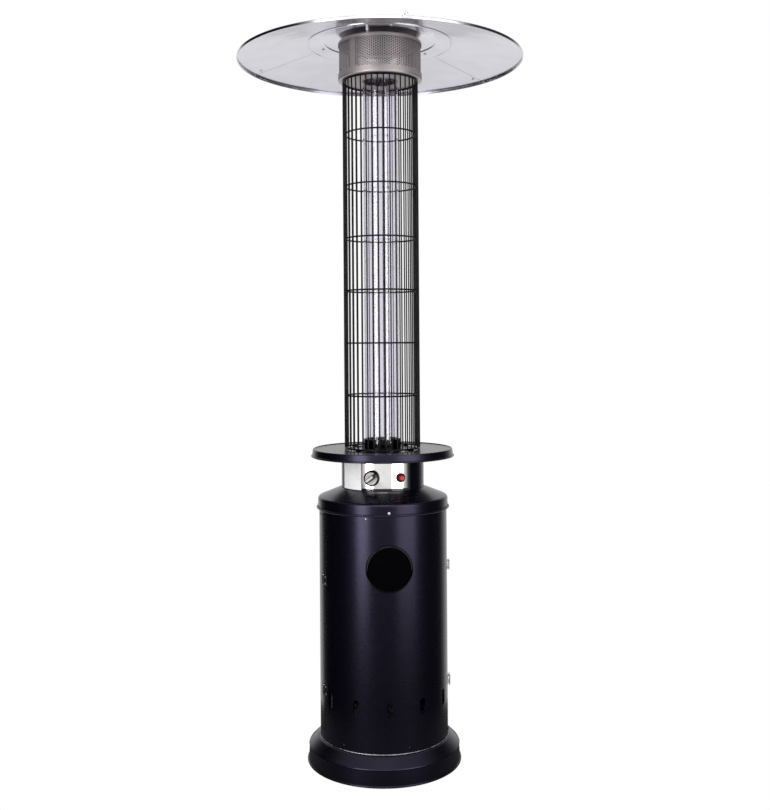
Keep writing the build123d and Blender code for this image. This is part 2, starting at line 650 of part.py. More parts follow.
# ---------------------------------------------------------------- table, burner and flame tube
def table_ring():
    low, lip = TABLE_TOP - TABLE_DEPTH, TABLE_TOP + TABLE_LIP
    rim = TABLE_RADIUS - TABLE_DRAFT
    skin = [(TABLE_RADIUS, low), (TABLE_RADIUS, low + TABLE_BEAD_HEIGHT), (rim, lip),
            (rim - TABLE_LIP_WIDTH, lip), (rim - TABLE_LIP_WIDTH, TABLE_TOP), (table_bore(), TABLE_TOP)]
    edge = TABLE_RADIUS + TABLE_BEAD_REACH
    inner = TABLE_RADIUS - SHEET
    cut = TABLE_BEAD_HEIGHT / 3
    table = sheet(skin)
    table += turned([(inner, low), (edge - cut, low), (edge, low + cut), (edge, low + TABLE_BEAD_HEIGHT - cut),
                     (edge - cut, low + TABLE_BEAD_HEIGHT), (inner, low + TABLE_BEAD_HEIGHT)])
    for azimuth in CAGE_FEET:
        hole = upright(CAGE_SCREW_RADIUS + SCREW_PLAY, TABLE_TOP - 5, TABLE_TOP + 5)
        table -= at(azimuth) * Pos(CAGE_SCREW_CIRCLE, 0, 0) * hole
    return table


def table_bore():
    """Radius of the table's middle opening, which leaves a shelf under the foot of the glass."""
    return TUBE_RADIUS - TUBE_WALL - TABLE_BORE_STEP


def burner_deck():
    edge = NECK_BORE - FIT
    skin = [(edge, DECK_LEVEL - 14), (edge, DECK_LEVEL), (FEED_RADIUS + SCREW_PLAY, DECK_LEVEL)]
    return sheet(skin)


def burner():
    """Turned burner body: foot, waist and head."""
    foot, waist, head = BURNER_RADIUS, BURNER_RADIUS - 8, BURNER_RADIUS
    z = DECK_LEVEL
    return turned([(0, z), (foot, z), (foot, z + 4), (waist, z + 7), (waist, z + 18), (head, z + 24),
                   (head, z + BURNER_HEIGHT), (0, z + BURNER_HEIGHT)])


def burner_cap():
    """Domed cap with flame ports cut all round its rim."""
    z = DECK_LEVEL + BURNER_HEIGHT
    cap = turned([(0, z), (BURNER_RADIUS, z), (BURNER_RADIUS, z + 4), (BURNER_RADIUS - 8, z + 9), (0, z + 11)])
    for i in range(BURNER_PORTS):
        cap -= at(360 / BURNER_PORTS * i) * block(BURNER_RADIUS - 7, BURNER_RADIUS + 1, -1.5, 1.5, z - 1, z + 2.5)
    return cap


def flame_fitting(azimuth, rod_radius, rod_top, sleeve_radius, sleeve_top):
    """Rod in a sleeve that stands on the burner deck beside the burner."""
    fitting = upright(sleeve_radius, DECK_LEVEL, sleeve_top) + upright(rod_radius, sleeve_top, rod_top)
    return at(azimuth) * Pos(FITTING_CIRCLE, 0, 0) * fitting


def tube_collar():
    """Castellated collar that the glass tube stands in."""
    bore = TUBE_RADIUS + TUBE_PLAY
    collar = ring(table_bore(), bore + COLLAR_WALL, TABLE_TOP, TUBE_FOOT)
    collar += ring(bore, bore + COLLAR_WALL, TUBE_FOOT, COLLAR_TOP)
    for i in range(COLLAR_TABS):
        notch = block(bore - 2, bore + COLLAR_WALL + 2, -COLLAR_NOTCH / 2, COLLAR_NOTCH / 2,
                      TUBE_FOOT + 6, COLLAR_TOP + 1)
        collar -= at(360 / COLLAR_TABS * (i + 0.5)) * notch
    return collar


def glass_tube():
    return ring(TUBE_RADIUS - TUBE_WALL, TUBE_RADIUS, TUBE_FOOT, TUBE_TOP)


# ---------------------------------------------------------------- wire cage
def cage_feet():
    half = WIRE_RADIUS * 5
    foot = block(CAGE_SCREW_CIRCLE - 8, CAGE_RADIUS + RING_RADIUS, -half, half, TABLE_TOP, CAGE_LOW)
    foot -= Pos(CAGE_SCREW_CIRCLE, 0, 0) * upright(CAGE_SCREW_RADIUS + SCREW_PLAY, TABLE_TOP - 1, CAGE_LOW + 1)
    return [at(azimuth) * foot for azimuth in CAGE_FEET]


def cage_screws():
    screw = Pos(0, 0, CAGE_LOW) * pan_head(2 * CAGE_SCREW_RADIUS, 2.6)
    screw += upright(CAGE_SCREW_RADIUS, TABLE_TOP - 8, CAGE_LOW)
    return [at(azimuth) * Pos(CAGE_SCREW_CIRCLE, 0, 0) * screw for azimuth in CAGE_FEET]


def cage_wires():
    wire = upright(WIRE_RADIUS, CAGE_LOW + RING_HEIGHT, HEAD_LEVEL - RING_HEIGHT)
    return [at(360 / CAGE_WIRES * i) * Pos(CAGE_RADIUS, 0, 0) * wire for i in range(CAGE_WIRES)]


def cage_ring(radius, z):
    """Round hoop drawn with six flats, level ones above and below."""
    side = RING_RADIUS / math.cos(math.pi / 6)
    return spun(Pos(radius, z) * RegularPolygon(side, 6))


def cage_rings():
    low = CAGE_LOW + RING_RADIUS
    high = HEAD_LEVEL - RING_RADIUS
    inside = CAGE_RADIUS - WIRE_RADIUS - RING_RADIUS / math.cos(math.pi / 6) - SEAT_GAP
    hoops = [cage_ring(CAGE_RADIUS, low), cage_ring(CAGE_RADIUS, high)]
    for i in range(1, RING_BAYS):
        hoops.append(cage_ring(inside, low + i * (high - low) / RING_BAYS))
    return hoops


# ---------------------------------------------------------------- head
def head_base():
    """Dished pan under the screen, pierced for the glass tube."""
    rim = HEAD_LEVEL + HEAD_BASE_RIM
    skin = [(TUBE_RADIUS + TUBE_PLAY, HEAD_LEVEL), (HEAD_RADIUS, HEAD_LEVEL), (HEAD_RADIUS, rim)]
    return sheet(skin, bends=[HEAD_RADIUS - SCREEN_RADIUS])


def head_screen():
    """Pierced wall of the head, standing between its two pans."""
    low, high = HEAD_LEVEL + SHEET, HEAD_TOP - SHEET
    wall = ring(SCREEN_RADIUS - SHEET, SCREEN_RADIUS, low, high)
    bare_low, bare_high = HEAD_LEVEL + HEAD_BASE_RIM, HEAD_TOP - HEAD_CAP_RIM
    row_pitch = (bare_high - bare_low) / SCREEN_ROWS
    for row in range(SCREEN_ROWS):
        z = bare_low + (row + 0.5) * row_pitch
        for column in range(SCREEN_COLUMNS):
            azimuth = 360 / SCREEN_COLUMNS * (column + 0.5 * (row % 2))
            hole = Pos(SCREEN_RADIUS, 0, z) * Rot(45, 0, 0) * Box(4 * SHEET, SCREEN_HOLE, SCREEN_HOLE)
            wall -= at(azimuth) * hole
    return wall


def head_cap():
    skin = [(HEAD_RADIUS, HEAD_TOP - HEAD_CAP_RIM), (HEAD_RADIUS, HEAD_TOP), (0, HEAD_TOP)]
    return sheet(skin)


def tube_guide():
    """Guide ring round the top of the glass, with room for it to grow when hot."""
    bore = TUBE_RADIUS + TUBE_PLAY
    stop = TUBE_TOP + TUBE_GROWTH
    return ring(bore, bore + COLLAR_WALL, HEAD_LEVEL + SHEET, stop) + ring(
        TUBE_RADIUS - 8, bore + COLLAR_WALL, stop, stop + SHEET)


def diffuser_cap():
    """Slotted flame cap over the mouth of the tube."""
    low = TUBE_TOP + TUBE_GROWTH + SHEET
    brim = ring(DIFFUSER_RADIUS - SHEET, TUBE_RADIUS - 2, low, low + SHEET)
    cap = brim + sheet([(DIFFUSER_RADIUS, low), (DIFFUSER_RADIUS, low + 24), (0, low + 24)])
    for i in range(DIFFUSER_SLOTS):
        slot = block(DIFFUSER_RADIUS - 5, DIFFUSER_RADIUS + 2, -2.5, 2.5, low + 6, low + 18)
        cap -= at(360 / DIFFUSER_SLOTS * i) * slot
    return cap


# ---------------------------------------------------------------- reflector
def panel_top(radius):
    """Height of the panels' upper skin at a radius."""
    return REFLECTOR_EDGE + (REFLECTOR_RADIUS - radius) * SLOPE


def cone_sheet(inner, outer, lift, wall=POLISHED_SHEET, start=0.0, arc=360.0):
    """Conical sheet parallel to the panels, lifted above their upper skin."""
    low_skin = [(outer, panel_top(outer) + lift), (inner, panel_top(inner) + lift)]
    high_skin = [(r, z + wall) for r, z in reversed(low_skin)]
    return spun(make_face(Polyline(*low_skin, *high_skin, close=True)), start, arc)


def seam_azimuths():
    return [SEAM_AZIMUTH + 360 / PANELS * i for i in range(PANELS)]


def bolt_frame(azimuth, radius):
    """Frame square to the reflector's slope, on the panels' upper skin."""
    return at(azimuth + LAP / 2) * Pos(radius, 0, panel_top(radius)) * Rot(0, REFLECTOR_SLOPE, 0)


def bolt_holes(radius):
    hole = upright(SEAM_BOLT_RADIUS + SCREW_PLAY, -20, 20)
    return [bolt_frame(azimuth, radius) * hole for azimuth in seam_azimuths()]


def reflector_panel(start):
    """One third of the reflector with its turned-down rim and the lap over its neighbour."""
    skin = [(REFLECTOR_RADIUS, REFLECTOR_EDGE - REFLECTOR_RIM), (REFLECTOR_RADIUS, REFLECTOR_EDGE),
            (PANEL_INNER, panel_top(PANEL_INNER))]
    arc = 360 / PANELS - SEAM_GAP
    panel = sheet(skin, POLISHED_SHEET, start=start, arc=arc)
    inner, outer = CLAMP_OUTER, REFLECTOR_RADIUS - 4
    root = SEAM_GAP + 1.5
    panel += cone_sheet(inner, outer, 0, SEAT_GAP + POLISHED_SHEET, start + arc - root, root)
    panel += cone_sheet(inner, outer, SEAT_GAP, POLISHED_SHEET, start + arc - SEAM_GAP, LAP + 2 * SEAM_GAP)
    for radius in SEAM_BOLT_CIRCLES:
        for hole in bolt_holes(radius):
            panel -= hole
    return panel


def clamp_ring():
    """Ring under the panels' inner edges."""
    ring_sheet = cone_sheet(PANEL_INNER, CLAMP_OUTER, -2 * POLISHED_SHEET - SEAT_GAP)
    for hole in bolt_holes(SEAM_BOLT_CIRCLES[0]):
        ring_sheet -= hole
    return ring_sheet


def centre_disc():
    """Middle of the reflector: a cone over the panels' inner edges and a flat crown for the studs."""
    lift = SEAT_GAP + POLISHED_SHEET
    skin = [(CENTRE_OUTER, panel_top(CENTRE_OUTER) + lift), (CENTRE_FLAT, crown_top()), (0, crown_top())]
    disc = sheet(skin, POLISHED_SHEET)
    for azimuth in stud_azimuths():
        disc -= at(azimuth) * Pos(STUD_CIRCLE, 0, 0) * upright(STUD_RADIUS + SCREW_PLAY, HEAD_TOP, crown_top() + 5)
    for hole in bolt_holes(SEAM_BOLT_CIRCLES[0]):
        disc -= hole
    return disc


def crown_top():
    return panel_top(CENTRE_FLAT) + SEAT_GAP + POLISHED_SHEET


def stud_azimuths():
    return [STUD_AZIMUTH + 360 / PANELS * i for i in range(PANELS)]


def hexagon(across, height):
    return extrude(RegularPolygon(across / math.sqrt(3), 6), height)


def reflector_studs():
    """Studs on the head's cap, each with a foot nut and a nut that carries the centre disc."""
    low_nut = crown_top() - POLISHED_SHEET - STUD_NUT_HEIGHT
    stud = upright(STUD_RADIUS, HEAD_TOP, crown_top() + STUD_NUT_HEIGHT + 2)
    stud += Pos(0, 0, HEAD_TOP) * hexagon(STUD_NUT_ACROSS, STUD_NUT_HEIGHT - 1)
    stud += Pos(0, 0, low_nut) * hexagon(STUD_NUT_ACROSS, STUD_NUT_HEIGHT)
    return [at(azimuth) * Pos(STUD_CIRCLE, 0, 0) * stud for azimuth in stud_azimuths()]


def stud_nuts():
    nut = Pos(0, 0, crown_top()) * hexagon(STUD_NUT_ACROSS, STUD_NUT_HEIGHT)
    nut -= upright(STUD_RADIUS + PIN_PLAY, HEAD_TOP, crown_top() + 2 * STUD_NUT_HEIGHT)
    return [at(azimuth) * Pos(STUD_CIRCLE, 0, 0) * nut for azimuth in stud_azimuths()]


def seam_bolts():
    """Bolts through the seams with cap nuts on top."""
    bolts = []
    for radius, below, above in ((SEAM_BOLT_CIRCLES[0], 2 * POLISHED_SHEET + SEAT_GAP, SEAT_GAP + POLISHED_SHEET),
                                 (SEAM_BOLT_CIRCLES[1], POLISHED_SHEET, SEAT_GAP + POLISHED_SHEET)):
        bolt = upright(SEAM_BOLT_RADIUS, -below - SEAT_GAP, above)
        bolt += upright(4.5, -below - SEAT_GAP - 2.2, -below - SEAT_GAP)
        bolt += Pos(0, 0, above) * hexagon(10, 5) + Pos(0, 0, above + 5) * Cone(
            4.2, 2.0, 6, align=(Align.CENTER, Align.CENTER, Align.MIN))
        bolts += [bolt_frame(azimuth, radius) * bolt for azimuth in seam_azimuths()]
    return bolts


# ---------------------------------------------------------------- wheels behind the base
def wheel_bracket():
    """Folded bracket on the back of the base whose two arms carry the axle."""
    half = WHEEL_TRACK / 2 - WHEEL_WIDTH
    wall = BASE_FOOT_RADIUS + SEAT_GAP
    low, high = AXLE_Z - 14, AXLE_Z + 10
    bracket = block(wall - 20, wall + 3, -half, half, low, high)
    for side in (-1, 1):
        y0, y1 = sorted((side * half, side * (half - 3)))
        bracket += block(wall, AXLE_REACH + 9, y0, y1, low, high)
    bracket -= turned([(0, 0), *base_profile(SEAT_GAP), (0, BASE_HEIGHT)])
    axle_hole = Pos(AXLE_REACH, 0, AXLE_Z) * Rot(90, 0, 0) * Cylinder(AXLE_RADIUS + PIN_PLAY, 2 * WHEEL_TRACK)
    return at(180) * (bracket - axle_hole)


def axle_span():
    return WHEEL_TRACK + WHEEL_WIDTH + 4


def axle():
    rod = Cylinder(AXLE_RADIUS, axle_span()) + Pos(0, 0, axle_span() / 2) * Cylinder(AXLE_RADIUS + 2.5, 2)
    rod += Pos(0, 0, -axle_span() / 2) * Cylinder(AXLE_RADIUS + 2.5, 2)
    return at(180) * Pos(AXLE_REACH, 0, AXLE_Z) * Rot(90, 0, 0) * rod


def wheel(side):
    """Moulded wheel with a tread, a dished web and a long hub."""
    half, rim = WHEEL_WIDTH / 2, WHEEL_RADIUS - 6
    hub = AXLE_RADIUS + 6
    outline = [(AXLE_RADIUS + PIN_PLAY, -half), (hub, -half), (hub, -3), (rim, -3), (rim, -half),
               (WHEEL_RADIUS - 2, -half), (WHEEL_RADIUS, -half + 3), (WHEEL_RADIUS, half - 3),
               (WHEEL_RADIUS - 2, half), (rim, half), (rim, 3), (hub, 3), (hub, half),
               (AXLE_RADIUS + PIN_PLAY, half)]
    return at(180) * Pos(AXLE_REACH, side * WHEEL_TRACK / 2, AXLE_Z) * Rot(90, 0, 0) * turned(outline)


# ---------------------------------------------------------------- the nodes
PIECES = {
    "base_shell": base_shell,
    "floor_pan": floor_pan,
    "housing": housing,
    "housing_screws": housing_screws,
    "front_disc": front_disc,
    "door": door,
    "hinge_leaves_fixed": lambda: hinge_leaves(1),
    "hinge_leaves_door": lambda: hinge_leaves(-1),
    "hinge_pins": hinge_pins,
    "latch_keepers": lambda: latch_row(latch_keeper),
    "latch_bases": lambda: latch_row(latch_base),
    "lower_latch_lever": lambda: latch_frame(LATCH_LEVELS[0]) * latch_lever(),
    "lower_latch_bail": lambda: latch_frame(LATCH_LEVELS[0]) * latch_bail(),
    "upper_latch_lever": lambda: latch_frame(LATCH_LEVELS[1]) * latch_lever(),
    "upper_latch_bail": lambda: latch_frame(LATCH_LEVELS[1]) * latch_bail(),
    "support_struts": support_struts,
    "bulkhead": bulkhead,
    "lid": lid,
    "lid_screws": lid_screws,
    "control_box": control_box,
    "control_plate": control_plate,
    "gas_valve": gas_valve,
    "stem_bush": stem_bush,
    "valve_stem": valve_stem,
    "control_knob": control_knob,
    "igniter_body": igniter_body,
    "igniter_button": igniter_button,
    "inlet_pipe": inlet_pipe,
    "burner_pipe": burner_pipe,
    "tilt_switch": tilt_switch,
    "table_ring": table_ring,
    "burner_deck": burner_deck,
    "burner": burner,
    "burner_cap": burner_cap,
    "pilot_burner": lambda: flame_fitting(-14, 3.2, DECK_LEVEL + 42, 3.8, DECK_LEVEL + 20),
    "thermocouple": lambda: flame_fitting(-40, 1.2, DECK_LEVEL + 46, 2.4, DECK_LEVEL + 34),
    "spark_electrode": lambda: flame_fitting(12, 1.0, DECK_LEVEL + 44, 3.0, DECK_LEVEL + 32),
    "tube_collar": tube_collar,
    "glass_tube": glass_tube,
    "cage_feet": cage_feet,
    "cage_screws": cage_screws,
    "cage_wires": cage_wires,
    "cage_rings": cage_rings,
    "head_base": head_base,
    "head_screen": head_screen,
    "head_cap": head_cap,
    "tube_guide": tube_guide,
    "diffuser_cap": diffuser_cap,
    "reflector_studs": reflector_studs,
    "stud_nuts": stud_nuts,
    "centre_disc": centre_disc,
    "clamp_ring": clamp_ring,
    "reflector_panel_1": lambda: reflector_panel(seam_azimuths()[0]),
    "reflector_panel_2": lambda: reflector_panel(seam_azimuths()[1]),
    "reflector_panel_3": lambda: reflector_panel(seam_azimuths()[2]),
    "seam_bolts": seam_bolts,
    "wheel_bracket": wheel_bracket,
    "axle": axle,
    "wheel_left": lambda: wheel(-1),
    "wheel_right": lambda: wheel(1),
}

os.makedirs("parts", exist_ok=True)
for node, make in PIECES.items():
    made = make()
    shape = Compound(children=made) if isinstance(made, list) else made
    export_step(shape, f"parts/{node}.step")
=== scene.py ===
import math
from typing import NamedTuple

import bmesh
import bpy
from mathutils import Matrix, Vector


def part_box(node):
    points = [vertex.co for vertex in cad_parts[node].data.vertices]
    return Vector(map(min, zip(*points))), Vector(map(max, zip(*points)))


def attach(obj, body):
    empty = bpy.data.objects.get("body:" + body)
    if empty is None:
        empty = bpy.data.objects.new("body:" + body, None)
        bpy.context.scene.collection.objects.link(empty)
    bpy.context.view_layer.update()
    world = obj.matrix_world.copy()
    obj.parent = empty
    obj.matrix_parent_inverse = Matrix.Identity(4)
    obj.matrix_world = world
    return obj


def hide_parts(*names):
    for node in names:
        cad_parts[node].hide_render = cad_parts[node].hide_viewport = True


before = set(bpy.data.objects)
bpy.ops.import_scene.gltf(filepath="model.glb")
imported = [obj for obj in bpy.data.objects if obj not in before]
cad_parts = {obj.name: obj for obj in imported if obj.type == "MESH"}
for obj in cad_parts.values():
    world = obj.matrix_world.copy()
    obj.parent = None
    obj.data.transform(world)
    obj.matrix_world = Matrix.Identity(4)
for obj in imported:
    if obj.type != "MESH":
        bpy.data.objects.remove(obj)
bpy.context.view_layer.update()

bl_info = {
    "name": "Glass-Tube Patio Heater",
    "version": (1, 0, 0),
    "blender": (4, 5, 0),
    "location": "3D View > Sidebar > Heater",
    "description": "Dresses a glass-tube patio heater with its sheet metal, cage, controls and finishes",
    "category": "Object",
}

MM = 0.001
SHEET = 1.2             # wall of the painted sheet, mm
POLISHED_SHEET = 1.0    # wall of the reflector's sheet, mm
SMOOTH_LIMIT = math.radians(32)
BEND_STEP = math.radians(9)
EASE = 0.4              # short run beside each bend that keeps a long face's shading straight, mm
ROUND_STEPS = 160
HINGE_AZIMUTH = -70.0   # of the hinges' axis, in degrees from the front toward +X
CONTROL_AZIMUTH = 19.5  # of the igniter, and of the knob on the other side
REFLECTOR_PITCH = 12.2  # slope of the reflector's panels, degrees


# ---------------------------------------------------------------- sizes read from the frame
def reach(node):
    """Outer radius of a round CAD node about the heater's axis, in millimetres."""
    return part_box(node)[1].x / MM


def low(node):
    """Height of a CAD node's foot, in millimetres."""
    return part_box(node)[0].z / MM


def high(node):
    """Height of a CAD node's top, in millimetres."""
    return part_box(node)[1].z / MM


def middle(node):
    """Height of a CAD node's middle, in millimetres."""
    return (low(node) + high(node)) / 2


def linear(colour):
    """Linear RGBA of an sRGB hex colour."""
    channels = (int(colour[i:i + 2], 16) / 255 for i in (1, 3, 5))
    return (*(c / 12.92 if c <= 0.04045 else ((c + 0.055) / 1.055) ** 2.4 for c in channels), 1.0)


def count_property(name, description, number, least):
    return bpy.props.IntProperty(name=name, description=description, default=number, min=least)


def size_property(name, description, millimetres):
    return bpy.props.FloatProperty(name=name, description=description, default=millimetres * MM,
                                   min=0.0, unit="LENGTH", precision=4)


def colour_property(name, description, colour):
    return bpy.props.FloatVectorProperty(name=name, description=description, default=linear(colour),
                                         size=4, min=0.0, max=1.0, subtype="COLOR")


class HeaterSizes(bpy.types.PropertyGroup):
    """Sizes of the details that are built round the frame."""
    base_shoulder: size_property("Base shoulder", "Height of the sloping shoulder of the base", 29.0)
    bead_radius: size_property("Foot bead", "Radius of the rolled wire edge round the foot", 2.2)
    hinge_height: size_property("Hinge height", "Height of one hinge's leaves", 27.0)
    lid_bend: size_property("Lid bend", "Radius of the bend round the top of the lid", 9.0)
    table_bend: size_property("Table bend", "Radius of the bend round the top of the table", 2.4)
    wires: count_property("Cage wires", "Upright wires round the cage", 40, 3)
    hoops: count_property("Cage hoops", "Hoops between the cage's two ends", 6, 0)
    wire_radius: size_property("Wire radius", "Radius of the upright wires", 2.0)
    hoop_radius: size_property("Hoop wire radius", "Radius of the hoops' wire", 2.3)
    screen_columns: count_property("Perforation columns", "Columns of holes round the head; an even number", 120, 6)
    screen_rows: count_property("Perforation rows", "Holes in a column of the head's screen", 12, 1)
    hole_pitch: size_property("Hole pitch", "Height from one hole of a column to the next", 7.0)
    hole_radius: size_property("Hole radius", "Radius of the head's holes", 2.3)
    screen_sheet: size_property("Screen sheet", "Thickness of the perforated sheet", 0.8)
    hem_radius: size_property("Reflector hem", "Radius of the rolled hem round the reflector", 1.7)
    seam: bpy.props.FloatProperty(name="Seam", description="Angle left open between two reflector panels",
                                  default=math.radians(0.3), subtype="ANGLE")


class HeaterColours(bpy.types.PropertyGroup):
    """Base colours of the finishes."""
    body: colour_property("Body paint", "Satin powder coat of the body", "#040308")
    cage: colour_property("Cage paint", "Dipped coat of the wire cage", "#07060C")
    enamel: colour_property("Enamel", "Gloss black of the disc and the tube collar", "#020204")
    head: colour_property("Head steel", "Brushed steel of the head", "#B9B1B0")
    plate: colour_property("Plate steel", "Polished steel of the control plate", "#F1EFED")
    reflector: colour_property("Reflector", "Polished sheet of the reflector", "#D6D4DC")
    zinc: colour_property("Zinc", "Bright zinc of the small hardware", "#DFE0E2")
    knob_face: colour_property("Knob face", "Grey inlay of the knob", "#BDB7B4")
    button: colour_property("Button", "Red of the igniter's button", "#C3121B")
    label: colour_property("Label", "Bare label beside the controls", "#FAF9FA")


# ---------------------------------------------------------------- meshes
def add_node(tree, kind, sockets=None, **settings):
    """Adds a node, sets its properties, and fills its inputs with values or links."""
    made = tree.nodes.new(kind)
    for name, value in settings.items():
        setattr(made, name, value)
    for key, value in (sockets or {}).items():
        if isinstance(value, bpy.types.NodeSocket):
            tree.links.new(value, made.inputs[key])
        else:
            made.inputs[key].default_value = value
    return made


def bent(points, bends):
    """Path of (radius, height) points with its inner corners rounded."""
    path = [Vector(points[0])]
    for i, bend in enumerate(bends, 1):
        corner, after = Vector(points[i]), Vector(points[i + 1])
        into, out = (corner - Vector(points[i - 1])).normalized(), (after - corner).normalized()
        turn = into.angle(out)
        if bend <= 0 or turn < 1e-3:
            path.append(corner)
            continue
        setback = bend * math.tan(turn / 2)
        begin, end = corner - into * setback, corner + out * setback
        left = 1 if into.x * out.y - into.y * out.x > 0 else -1
        centre = begin + Vector((-into.y, into.x)) * bend * left
        if (begin - path[-1]).length > 3 * EASE:
            path.append(begin - into * EASE)
        steps = max(3, math.ceil(turn / BEND_STEP))
        for k in range(steps + 1):
            angle = left * turn * k / steps
            arm = begin - centre
            path.append(centre + Vector((arm.x * math.cos(angle) - arm.y * math.sin(angle),
                                         arm.x * math.sin(angle) + arm.y * math.cos(angle))))
        if (after - end).length > 3 * EASE:
            path.append(end + out * EASE)
    path.append(Vector(points[-1]))
    return path


def walled(path, wall=SHEET):
    """Closed outline of a sheet whose visible skin is the path and whose wall lies on its left."""
    inner = []
    for i, point in enumerate(path):
        runs = [(b - a).normalized() for a, b in zip(path[max(i - 1, 0):i + 1], path[max(i - 1, 0) + 1:i + 2])]
        mean = sum(runs, Vector((0, 0))).normalized()
        square = max(mean.dot(runs[0]), 0.3)
        inner.append(point + Vector((-mean.y, mean.x)) * wall / square)
    return path + inner[::-1]


def tube_outline(radius, height, bead, steps=16):
    """Round section of a rolled edge or a hoop."""
    turns = (2 * math.pi * k / steps for k in range(steps))
    return [Vector((radius + bead * math.cos(t), height + bead * math.sin(t))) for t in turns]


def band(inner, outer, foot, top):
    """Square section between two radii and two heights."""
    return [(inner, foot), (outer, foot), (outer, top), (inner, top)]


def lathe(outline, steps=ROUND_STEPS, start=0.0, arc=360.0, into=None):
    """Turns a closed (radius, height) outline in millimetres about the Z axis, from an azimuth in degrees."""
    made = into or bmesh.new()
    area = sum(a[0] * b[1] - b[0] * a[1] for a, b in zip(outline, [*outline[1:], outline[0]]))
    if area < 0:
        outline = outline[::-1]
    whole = arc >= 360
    columns = steps if whole else steps + 1
    rings = []
    for radius, height in outline:
        if radius < 1e-6:
            rings.append([made.verts.new((0, 0, height * MM))] * columns)
            continue
        turns = (math.radians(start + arc * k / steps) for k in range(columns))
        rings.append([made.verts.new((radius * MM * math.sin(t), -radius * MM * math.cos(t), height * MM))
                      for t in turns])
    for lower, upper in zip(rings, [*rings[1:], rings[0]]):
        for k in range(steps):
            m = (k + 1) % columns
            corners = list(dict.fromkeys((lower[k], lower[m], upper[m], upper[k])))
            if len(corners) > 2:
                made.faces.new(corners)
    if not whole:
        made.faces.new([ring[0] for ring in rings])
        made.faces.new([ring[-1] for ring in rings][::-1])
    return made


def skinned(made, rings):
    """Faces between rings of equally many vertices, closed at both ends."""
    made.faces.new(rings[0][::-1])
    made.faces.new(rings[-1])
    for lower, upper in zip(rings, rings[1:]):
        for k, vertex in enumerate(lower):
            m = (k + 1) % len(lower)
            made.faces.new((vertex, lower[m], upper[m], upper[k]))
    return made


def slab(outline, levels, into=None):
    """Stack of scaled copies of a flat outline: levels are (height, inset) in mm, closed at both ends."""
    made = into or bmesh.new()
    middle_x = sum(p[0] for p in outline) / len(outline)
    middle_y = sum(p[1] for p in outline) / len(outline)
    rings = []
    for height, inset in levels:
        ring = []
        for x, y in outline:
            arm = Vector((x - middle_x, y - middle_y))
            arm -= arm.normalized() * inset
            ring.append(made.verts.new(((middle_x + arm.x) * MM, (middle_y + arm.y) * MM, height * MM)))
        rings.append(ring)
    return skinned(made, rings)


def stadium(length, width, steps=10):
    """Outline of a bar with round ends, along X."""
    half, radius = (length - width) / 2, width / 2
    turns = [math.pi * (k / steps - 0.5) for k in range(steps + 1)]
    right = [(half + radius * math.cos(t), radius * math.sin(t)) for t in turns]
    return right + [(-x, -y) for x, y in right]


def shaded(made, limit=SMOOTH_LIMIT):
    """Smooth faces with a sharp edge wherever two of them meet at more than a limit."""
    made.normal_update()
    for edge in made.edges:
        edge.smooth = len(edge.link_faces) == 2 and edge.calc_face_angle(0.0) < limit
    for face in made.faces:
        face.smooth = True
    return made


def new_object(name, made, *finishes):
    """Object at the origin from a bmesh, with its finishes as material slots."""
    mesh = bpy.data.meshes.new(name)
    shaded(made).to_mesh(mesh)
    made.free()
    for key in finishes:
        mesh.materials.append(finish(key))
    piece = bpy.data.objects.new(name, mesh)
    bpy.context.scene.collection.objects.link(piece)
    return piece


def mounted(piece, body, slot, *nodes):
    """Puts a finished piece on its body in place of the CAD nodes it stands for."""
    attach(piece, body)
    if nodes:
        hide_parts(*nodes)
    return piece


def facing(azimuth, radius, height, spin=0.0):
    """Frame whose Z points outwards at an azimuth, for parts drawn lying on their backs."""
    return (Matrix.Rotation(math.radians(azimuth - 90), 4, "Z") @ beside_x(radius, height)
            @ Matrix.Rotation(math.radians(spin), 4, "Z"))


def beside_x(radius, height):
    """Frame beside the X axis whose Z points outwards, for the parts that a tree repeats."""
    return Matrix.Translation((radius * MM, 0, height * MM)) @ Matrix.Rotation(math.pi / 2, 4, "Y")


def copy_of(node, name, key, hem=0.0):
    """Merged copy of a rolled CAD wall, its shading set square to the heater's axis. The hem, in millimetres from
    the foot, is shaded as if it bent in by six degrees."""
    made = bmesh.new()
    made.from_mesh(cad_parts[node].data)
    bmesh.ops.remove_doubles(made, verts=made.verts, dist=1e-6)
    fold = low(node) * MM + hem * MM
    if hem:
        bmesh.ops.bisect_plane(made, geom=[*made.verts, *made.edges, *made.faces], plane_co=(0, 0, fold),
                               plane_no=(0, 0, 1))
    for face in made.faces:
        face.material_index = 0
    piece = new_object(name, made, key)
    mesh = piece.data
    normals = [None] * len(mesh.loops)
    for face in mesh.polygons:
        along = face.normal.dot(Vector((face.center.x, face.center.y, 0)).normalized())
        for loop in face.loop_indices:
            corner = mesh.vertices[mesh.loops[loop].vertex_index].co
            square = Vector((corner.x, corner.y, 0)).normalized()
            if face.center.z < fold:
                square.z = -0.1
            normals[loop] = square * math.copysign(1, along) if abs(along) > 0.97 else face.normal
    mesh.normals_split_custom_set(normals)
    return piece


# ---------------------------------------------------------------- geometry node trees
def new_tree(name, inputs):
    """Empty geometry node tree with named inputs, given as (name, kind, default)."""
    tree = bpy.data.node_groups.new(name, "GeometryNodeTree")
    tree.interface.new_socket("Geometry", in_out="INPUT", socket_type="NodeSocketGeometry")
    for label, kind, default in inputs:
        socket = tree.interface.new_socket(label, in_out="INPUT", socket_type=f"NodeSocket{kind}")
        socket.default_value = default
    tree.interface.new_socket("Material", in_out="INPUT", socket_type="NodeSocketMaterial")
    tree.interface.new_socket("Geometry", in_out="OUTPUT", socket_type="NodeSocketGeometry")
    return tree, {socket.name: socket for socket in add_node(tree, "NodeGroupInput").outputs}


